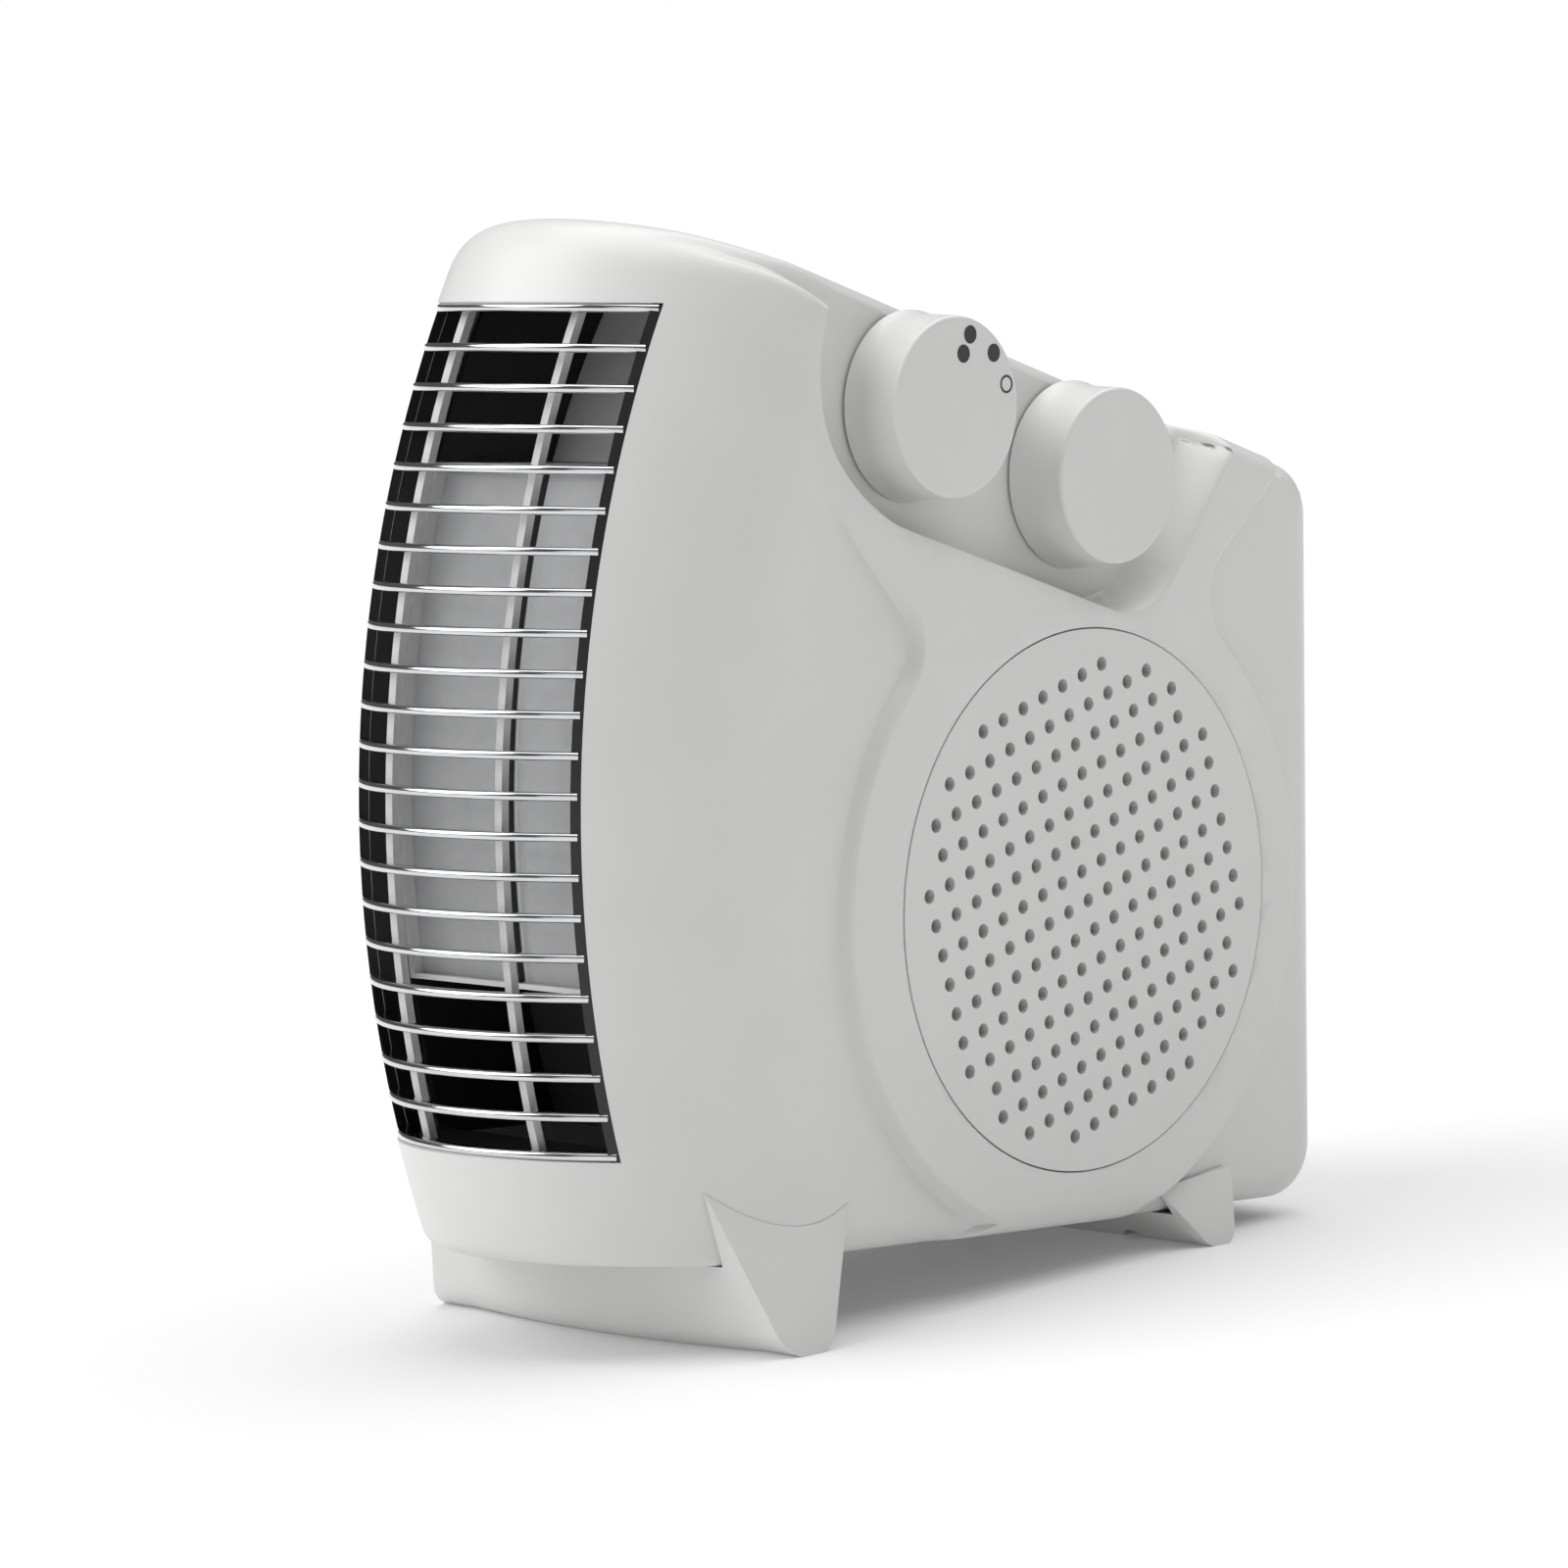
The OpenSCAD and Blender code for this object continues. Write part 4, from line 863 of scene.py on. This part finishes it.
def louvreTree():
    tree, given = newTree("louvre_bars", {
        "Count": "Int", "Low": "Float", "Pitch": "Float", "Reach": "Float", "Steps": "Int", "Deep": "Float",
        "Thick": "Float", "Inset": "Float", "Bow": "Float", "Bow Centre": "Float", "Axis Y": "Float",
        "Axis Z": "Float", "Material": "Material"})
    start = addNode(tree, "ShaderNodeCombineXYZ", {}, {"Z": given["Low"]})
    pitch = addNode(tree, "ShaderNodeCombineXYZ", {}, {"Z": given["Pitch"]})
    column = addNode(tree, "GeometryNodeMeshLine", {}, {
        "Count": given["Count"], "Start Location": start.outputs[0], "Offset": pitch.outputs[0]})
    left = addNode(tree, "ShaderNodeCombineXYZ", {}, {"X": calc(tree, "MULTIPLY", given["Reach"], -1.0)})
    right = addNode(tree, "ShaderNodeCombineXYZ", {}, {"X": given["Reach"]})
    wire = addNode(tree, "GeometryNodeCurvePrimitiveLine", {}, {"Start": left.outputs[0], "End": right.outputs[0]})
    wire = addNode(tree, "GeometryNodeResampleCurve", {}, {"Curve": wire.outputs[0], "Count": given["Steps"]})
    bars = addNode(tree, "GeometryNodeInstanceOnPoints", {}, {"Points": column.outputs[0], "Instance": wire.outputs[0]})
    bars = addNode(tree, "GeometryNodeRealizeInstances", {}, {"Geometry": bars.outputs[0]})
    # distance of the front from the sweep axis at this x, then its depth at this height
    at = addNode(tree, "ShaderNodeSeparateXYZ", {}, {
        "Vector": tree.nodes.new("GeometryNodeInputPosition").outputs[0]}).outputs
    bowed = calc(tree, "SQRT", calc(tree, "SUBTRACT", calc(tree, "POWER", given["Bow"], 2.0),
                                    calc(tree, "POWER", at["X"], 2.0)))
    radius = calc(tree, "SUBTRACT", calc(tree, "ADD", given["Bow Centre"], bowed), given["Inset"])
    rise = calc(tree, "SUBTRACT", at["Z"], given["Axis Z"])
    sweep = calc(tree, "SQRT", calc(tree, "SUBTRACT", calc(tree, "POWER", radius, 2.0),
                                    calc(tree, "MULTIPLY", rise, rise)))
    there = addNode(tree, "ShaderNodeCombineXYZ", {}, {
        "X": at["X"], "Y": calc(tree, "SUBTRACT", given["Axis Y"], sweep), "Z": at["Z"]})
    bars = addNode(tree, "GeometryNodeSetPosition", {}, {"Geometry": bars.outputs[0], "Position": there.outputs[0]})
    bars = addNode(tree, "GeometryNodeSetCurveNormal", {}, {"Curve": bars.outputs[0]}, mode="Z_UP")
    section = addNode(tree, "GeometryNodeCurvePrimitiveQuadrilateral", {}, {
        "Width": given["Deep"], "Height": given["Thick"]})
    section = addNode(tree, "GeometryNodeFilletCurve", {"Count": 5}, {
        "Curve": section.outputs[0], "Radius": calc(tree, "MULTIPLY", given["Thick"], 0.44)}, mode="POLY")
    solid = addNode(tree, "GeometryNodeCurveToMesh", {"Fill Caps": True}, {
        "Curve": bars.outputs[0], "Profile Curve": section.outputs[0]})
    solid = addNode(tree, "GeometryNodeSetShadeSmooth", {}, {"Geometry": solid.outputs[0]})
    finishTree(tree, solid.outputs[0], given["Material"])
    return tree


mesh = grown("louvre_wires", louvreTree(), {
    "Count": louvre["count"], "Low": louvre["low"],
    "Pitch": (louvre["top"] - louvre["low"]) / (louvre["count"] - 1), "Reach": louvre["reach"],
    "Steps": louvre["steps"], "Deep": louvre["deep"], "Thick": louvre["thick"],
    "Inset": louvre["back"] + louvre["deep"] / 2, "Bow": casing["bow"], "Bow Centre": bowCentre,
    "Axis Y": axisY, "Axis Z": axisZ, "Material": finishes["chrome_bar"]})
place(mesh)
shade(mesh, 40)
addPiece("louvre_wires", mesh, None, "housing", ["grille_bars"])
print("louvre ready", len(mesh.polygons))

# Fin pack ------------------------------------------------------------------------------------
# thin pressed fins across the heater, with the middle post's gap between the two halves
fins = {"pitch": 1.3, "thin": 0.4, "deep": 3.8, "radius": 244.0, "low": -15.2, "top": 100.2, "gap": 2.3, "reach": 36.2,
        "steps": 33}
# dull from the furnace, so that the pack reads as one pale ribbed panel
finStock, finTree, finShader, finWhere = newMaterial("furnace_dulled_fin_stock", Metallic=0.05)
tinted(finTree, finShader, noiseOf(finTree, finWhere, 4, 3), "e4e5e6", "f2f2f3")
varied(finTree, finShader, "Roughness", noiseOf(finTree, finWhere, 1.5, 3), 0.5, 0.62)
bumped(finTree, finShader, noiseOf(finTree, finWhere, 0.6, 3), 0.004)


def finPackTree():
    tree, given = newTree("fin_pack", {
        "Count": "Int", "Reach": "Float", "Gap": "Float", "Low": "Float", "Top": "Float", "Steps": "Int",
        "Radius": "Float", "Deep": "Float", "Thin": "Float", "Axis Y": "Float", "Axis Z": "Float",
        "Material": "Material"})
    left = addNode(tree, "ShaderNodeCombineXYZ", {}, {"X": calc(tree, "MULTIPLY", given["Reach"], -1.0)})
    step = calc(tree, "DIVIDE", calc(tree, "MULTIPLY", given["Reach"], 2.0), calc(tree, "SUBTRACT", given["Count"], 1.0))
    offset = addNode(tree, "ShaderNodeCombineXYZ", {}, {"X": step})
    places = addNode(tree, "GeometryNodeMeshLine", {}, {
        "Count": given["Count"], "Start Location": left.outputs[0], "Offset": offset.outputs[0]})
    at = addNode(tree, "ShaderNodeSeparateXYZ", {}, {
        "Vector": tree.nodes.new("GeometryNodeInputPosition").outputs[0]}).outputs
    kept = addNode(tree, "GeometryNodeDeleteGeometry", {}, {
        "Geometry": places.outputs[0],
        "Selection": calc(tree, "LESS_THAN", calc(tree, "ABSOLUTE", at["X"]), given["Gap"])})
    foot = addNode(tree, "ShaderNodeCombineXYZ", {}, {"Z": given["Low"]})
    head = addNode(tree, "ShaderNodeCombineXYZ", {}, {"Z": given["Top"]})
    edge = addNode(tree, "GeometryNodeCurvePrimitiveLine", {}, {"Start": foot.outputs[0], "End": head.outputs[0]})
    edge = addNode(tree, "GeometryNodeResampleCurve", {}, {"Curve": edge.outputs[0], "Count": given["Steps"]})
    rise = calc(tree, "SUBTRACT", at["Z"], given["Axis Z"])
    middle = calc(tree, "SUBTRACT", given["Radius"], calc(tree, "MULTIPLY", given["Deep"], 0.5))
    sweep = calc(tree, "SQRT", calc(tree, "SUBTRACT", calc(tree, "POWER", middle, 2.0),
                                    calc(tree, "MULTIPLY", rise, rise)))
    there = addNode(tree, "ShaderNodeCombineXYZ", {}, {
        "X": at["X"], "Y": calc(tree, "SUBTRACT", given["Axis Y"], sweep), "Z": at["Z"]})
    edge = addNode(tree, "GeometryNodeSetPosition", {}, {"Geometry": edge.outputs[0], "Position": there.outputs[0]})
    section = addNode(tree, "GeometryNodeCurvePrimitiveQuadrilateral", {}, {
        "Width": given["Deep"], "Height": given["Thin"]})
    fin = addNode(tree, "GeometryNodeCurveToMesh", {"Fill Caps": True}, {
        "Curve": edge.outputs[0], "Profile Curve": section.outputs[0]})
    pack = addNode(tree, "GeometryNodeInstanceOnPoints", {}, {"Points": kept.outputs[0], "Instance": fin.outputs[0]})
    finishTree(tree, pack.outputs[0], given["Material"])
    return tree


mesh = grown("fin_pack", finPackTree(), {
    "Count": int(2 * fins["reach"] / fins["pitch"]) + 1, "Reach": fins["reach"], "Gap": fins["gap"], "Low": fins["low"],
    "Top": fins["top"], "Steps": fins["steps"], "Radius": fins["radius"], "Deep": fins["deep"],
    "Thin": fins["thin"], "Axis Y": axisY, "Axis Z": axisZ, "Material": finStock})
place(mesh)
shade(mesh, 40)
addPiece("fin_pack", mesh, None, "housing", ["heater_fins"])
print("fins ready", len(mesh.polygons))

# Intake discs --------------------------------------------------------------------------------
# a square lattice of holes, turned a little, through a flat disc flush with the raised plate
intake = {"radius": 63.8, "pitch": 7.3, "hole": 3.4, "turn": math.radians(19.5), "reach": 57.9, "side": 52.0,
          "thick": 3.0}


def intakeTree():
    tree, given = newTree("perforated_disc", {
        "Radius": "Float", "Pitch": "Float", "Hole": "Float", "Turn": "Float", "Reach": "Float",
        "Span": "Int", "Thick": "Float", "Material": "Material"})
    across = calc(tree, "MULTIPLY", given["Pitch"], calc(tree, "SUBTRACT", given["Span"], 1.0))
    lattice = addNode(tree, "GeometryNodeMeshGrid", {}, {
        "Size X": across, "Size Y": across, "Vertices X": given["Span"], "Vertices Y": given["Span"]})
    away = addNode(tree, "ShaderNodeVectorMath", {}, {}, operation="LENGTH")
    tree.links.new(tree.nodes.new("GeometryNodeInputPosition").outputs[0], away.inputs[0])
    kept = addNode(tree, "GeometryNodeDeleteGeometry", {}, {
        "Geometry": lattice.outputs[0], "Selection": calc(tree, "GREATER_THAN", away.outputs["Value"], given["Reach"])})
    hole = addNode(tree, "GeometryNodeCurvePrimitiveCircle", {"Resolution": 28}, {
        "Radius": calc(tree, "MULTIPLY", given["Hole"], 0.5)})
    holes = addNode(tree, "GeometryNodeInstanceOnPoints", {}, {"Points": kept.outputs[0], "Instance": hole.outputs[0]})
    holes = addNode(tree, "GeometryNodeRealizeInstances", {}, {"Geometry": holes.outputs[0]})
    turned = addNode(tree, "ShaderNodeCombineXYZ", {}, {"Z": given["Turn"]})
    holes = addNode(tree, "GeometryNodeTransform", {}, {"Geometry": holes.outputs[0], "Rotation": turned.outputs[0]})
    edge = addNode(tree, "GeometryNodeCurvePrimitiveCircle", {"Resolution": 180}, {"Radius": given["Radius"]})
    lines = tree.nodes.new("GeometryNodeJoinGeometry")
    tree.links.new(edge.outputs[0], lines.inputs[0])
    tree.links.new(holes.outputs[0], lines.inputs[0])
    face = addNode(tree, "GeometryNodeFillCurve", {}, {"Curve": lines.outputs[0]}, mode="TRIANGLES")
    up = addNode(tree, "GeometryNodeExtrudeMesh", {"Individual": False}, {
        "Mesh": face.outputs[0], "Offset Scale": given["Thick"]})
    under = addNode(tree, "GeometryNodeFlipFaces", {}, {"Mesh": face.outputs[0]})
    both = tree.nodes.new("GeometryNodeJoinGeometry")
    tree.links.new(up.outputs[0], both.inputs[0])
    tree.links.new(under.outputs[0], both.inputs[0])
    closed = addNode(tree, "GeometryNodeMergeByDistance", {"Distance": 0.001}, {"Geometry": both.outputs[0]})
    finishTree(tree, closed.outputs[0], given["Material"])
    return tree


discTree = intakeTree()
for side, word in ((1, "right"), (-1, "left")):
    mesh = grown("intake_disc_" + word, discTree, {
        "Radius": intake["radius"], "Pitch": intake["pitch"], "Hole": intake["hole"], "Turn": intake["turn"],
        "Reach": intake["reach"], "Span": 17, "Thick": intake["thick"], "Material": finishes["white_abs"]})
    mesh.transform(Matrix.Translation((intake["side"], 0, 0)) @ Matrix.Rotation(math.pi / 2, 4, "Y"))
    if side < 0:
        mesh.transform(Matrix.Scale(-1, 4, (1, 0, 0)))
        mesh.flip_normals()
    place(mesh)
    shade(mesh, 40)
    addPiece("intake_disc_" + word, mesh, None, "housing", ["intake_grille_" + word])
print("intake discs ready", len(mesh.polygons))

# Feet ----------------------------------------------------------------------------------------
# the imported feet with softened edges; the front one bows forward in the middle
feet = {"front_foot": {"bow": 4.5, "half": 46.0}, "rear_foot": {"bow": 0.0, "half": 46.0}}
footEdge = {"width": 0.9, "segments": 3, "flat": math.radians(2), "corner": math.radians(28), "cut": 4.0}


def buildFoot(node, foot):
    mesh = nodes[node].data.copy()
    mesh.transform(nodes[node].matrix_world)
    work = bmesh.new()
    work.from_mesh(mesh)
    bmesh.ops.remove_doubles(work, verts=work.verts, dist=0.00001)
    bmesh.ops.dissolve_limit(work, angle_limit=footEdge["flat"], verts=work.verts, edges=work.edges)
    bmesh.ops.triangulate(work, faces=[f for f in work.faces if len(f.verts) > 4])
    work.to_mesh(mesh)
    work.free()

    def setUp(helper):
        edge = helper.modifiers.new("edge", "BEVEL")
        edge.width = footEdge["width"] * mm
        edge.segments = footEdge["segments"]
        edge.limit_method = "ANGLE"
        edge.angle_limit = footEdge["corner"]
    mesh = withModifiers(node + "_soft", mesh, setUp)
    if foot["bow"]:
        work = bmesh.new()
        work.from_mesh(mesh)
        for x in np.arange(-foot["half"], foot["half"] + 0.1, footEdge["cut"]):
            bmesh.ops.bisect_plane(work, geom=work.verts[:] + work.edges[:] + work.faces[:],
                                   plane_co=(x * mm, 0, 0), plane_no=(1, 0, 0), dist=1e-6)
        for v in work.verts:
            share = min(1.0, abs(v.co.x) / (foot["half"] * mm))
            v.co.y -= foot["bow"] * mm * (1 - share ** 2)
        work.to_mesh(mesh)
        work.free()
    shade(mesh, 30)
    addPiece(node + "_soft", mesh, finishes["white_abs"], "housing", [node])


for node, foot in feet.items():
    buildFoot(node, foot)
print("feet ready")

# Floor ---------------------------------------------------------------------------------------
floorMaterial, floorTree, floorShader, floorWhere = newMaterial("pale_floor", Roughness=0.8)
floorShader.inputs["Base Color"].default_value = rgb("dedede")
floorShader.inputs["Emission Color"].default_value = (1, 1, 1, 1)
floorShader.inputs["Emission Strength"].default_value = 0.08
floorMesh = meshFrom("floor", [(-40, -40, 0), (40, -40, 0), (40, 40, 0), (-40, 40, 0)], [(0, 1, 2, 3)])
floorMesh.materials.append(floorMaterial)
floor = bpy.data.objects.new("floor", floorMesh)
scene.collection.objects.link(floor)

print("finished")
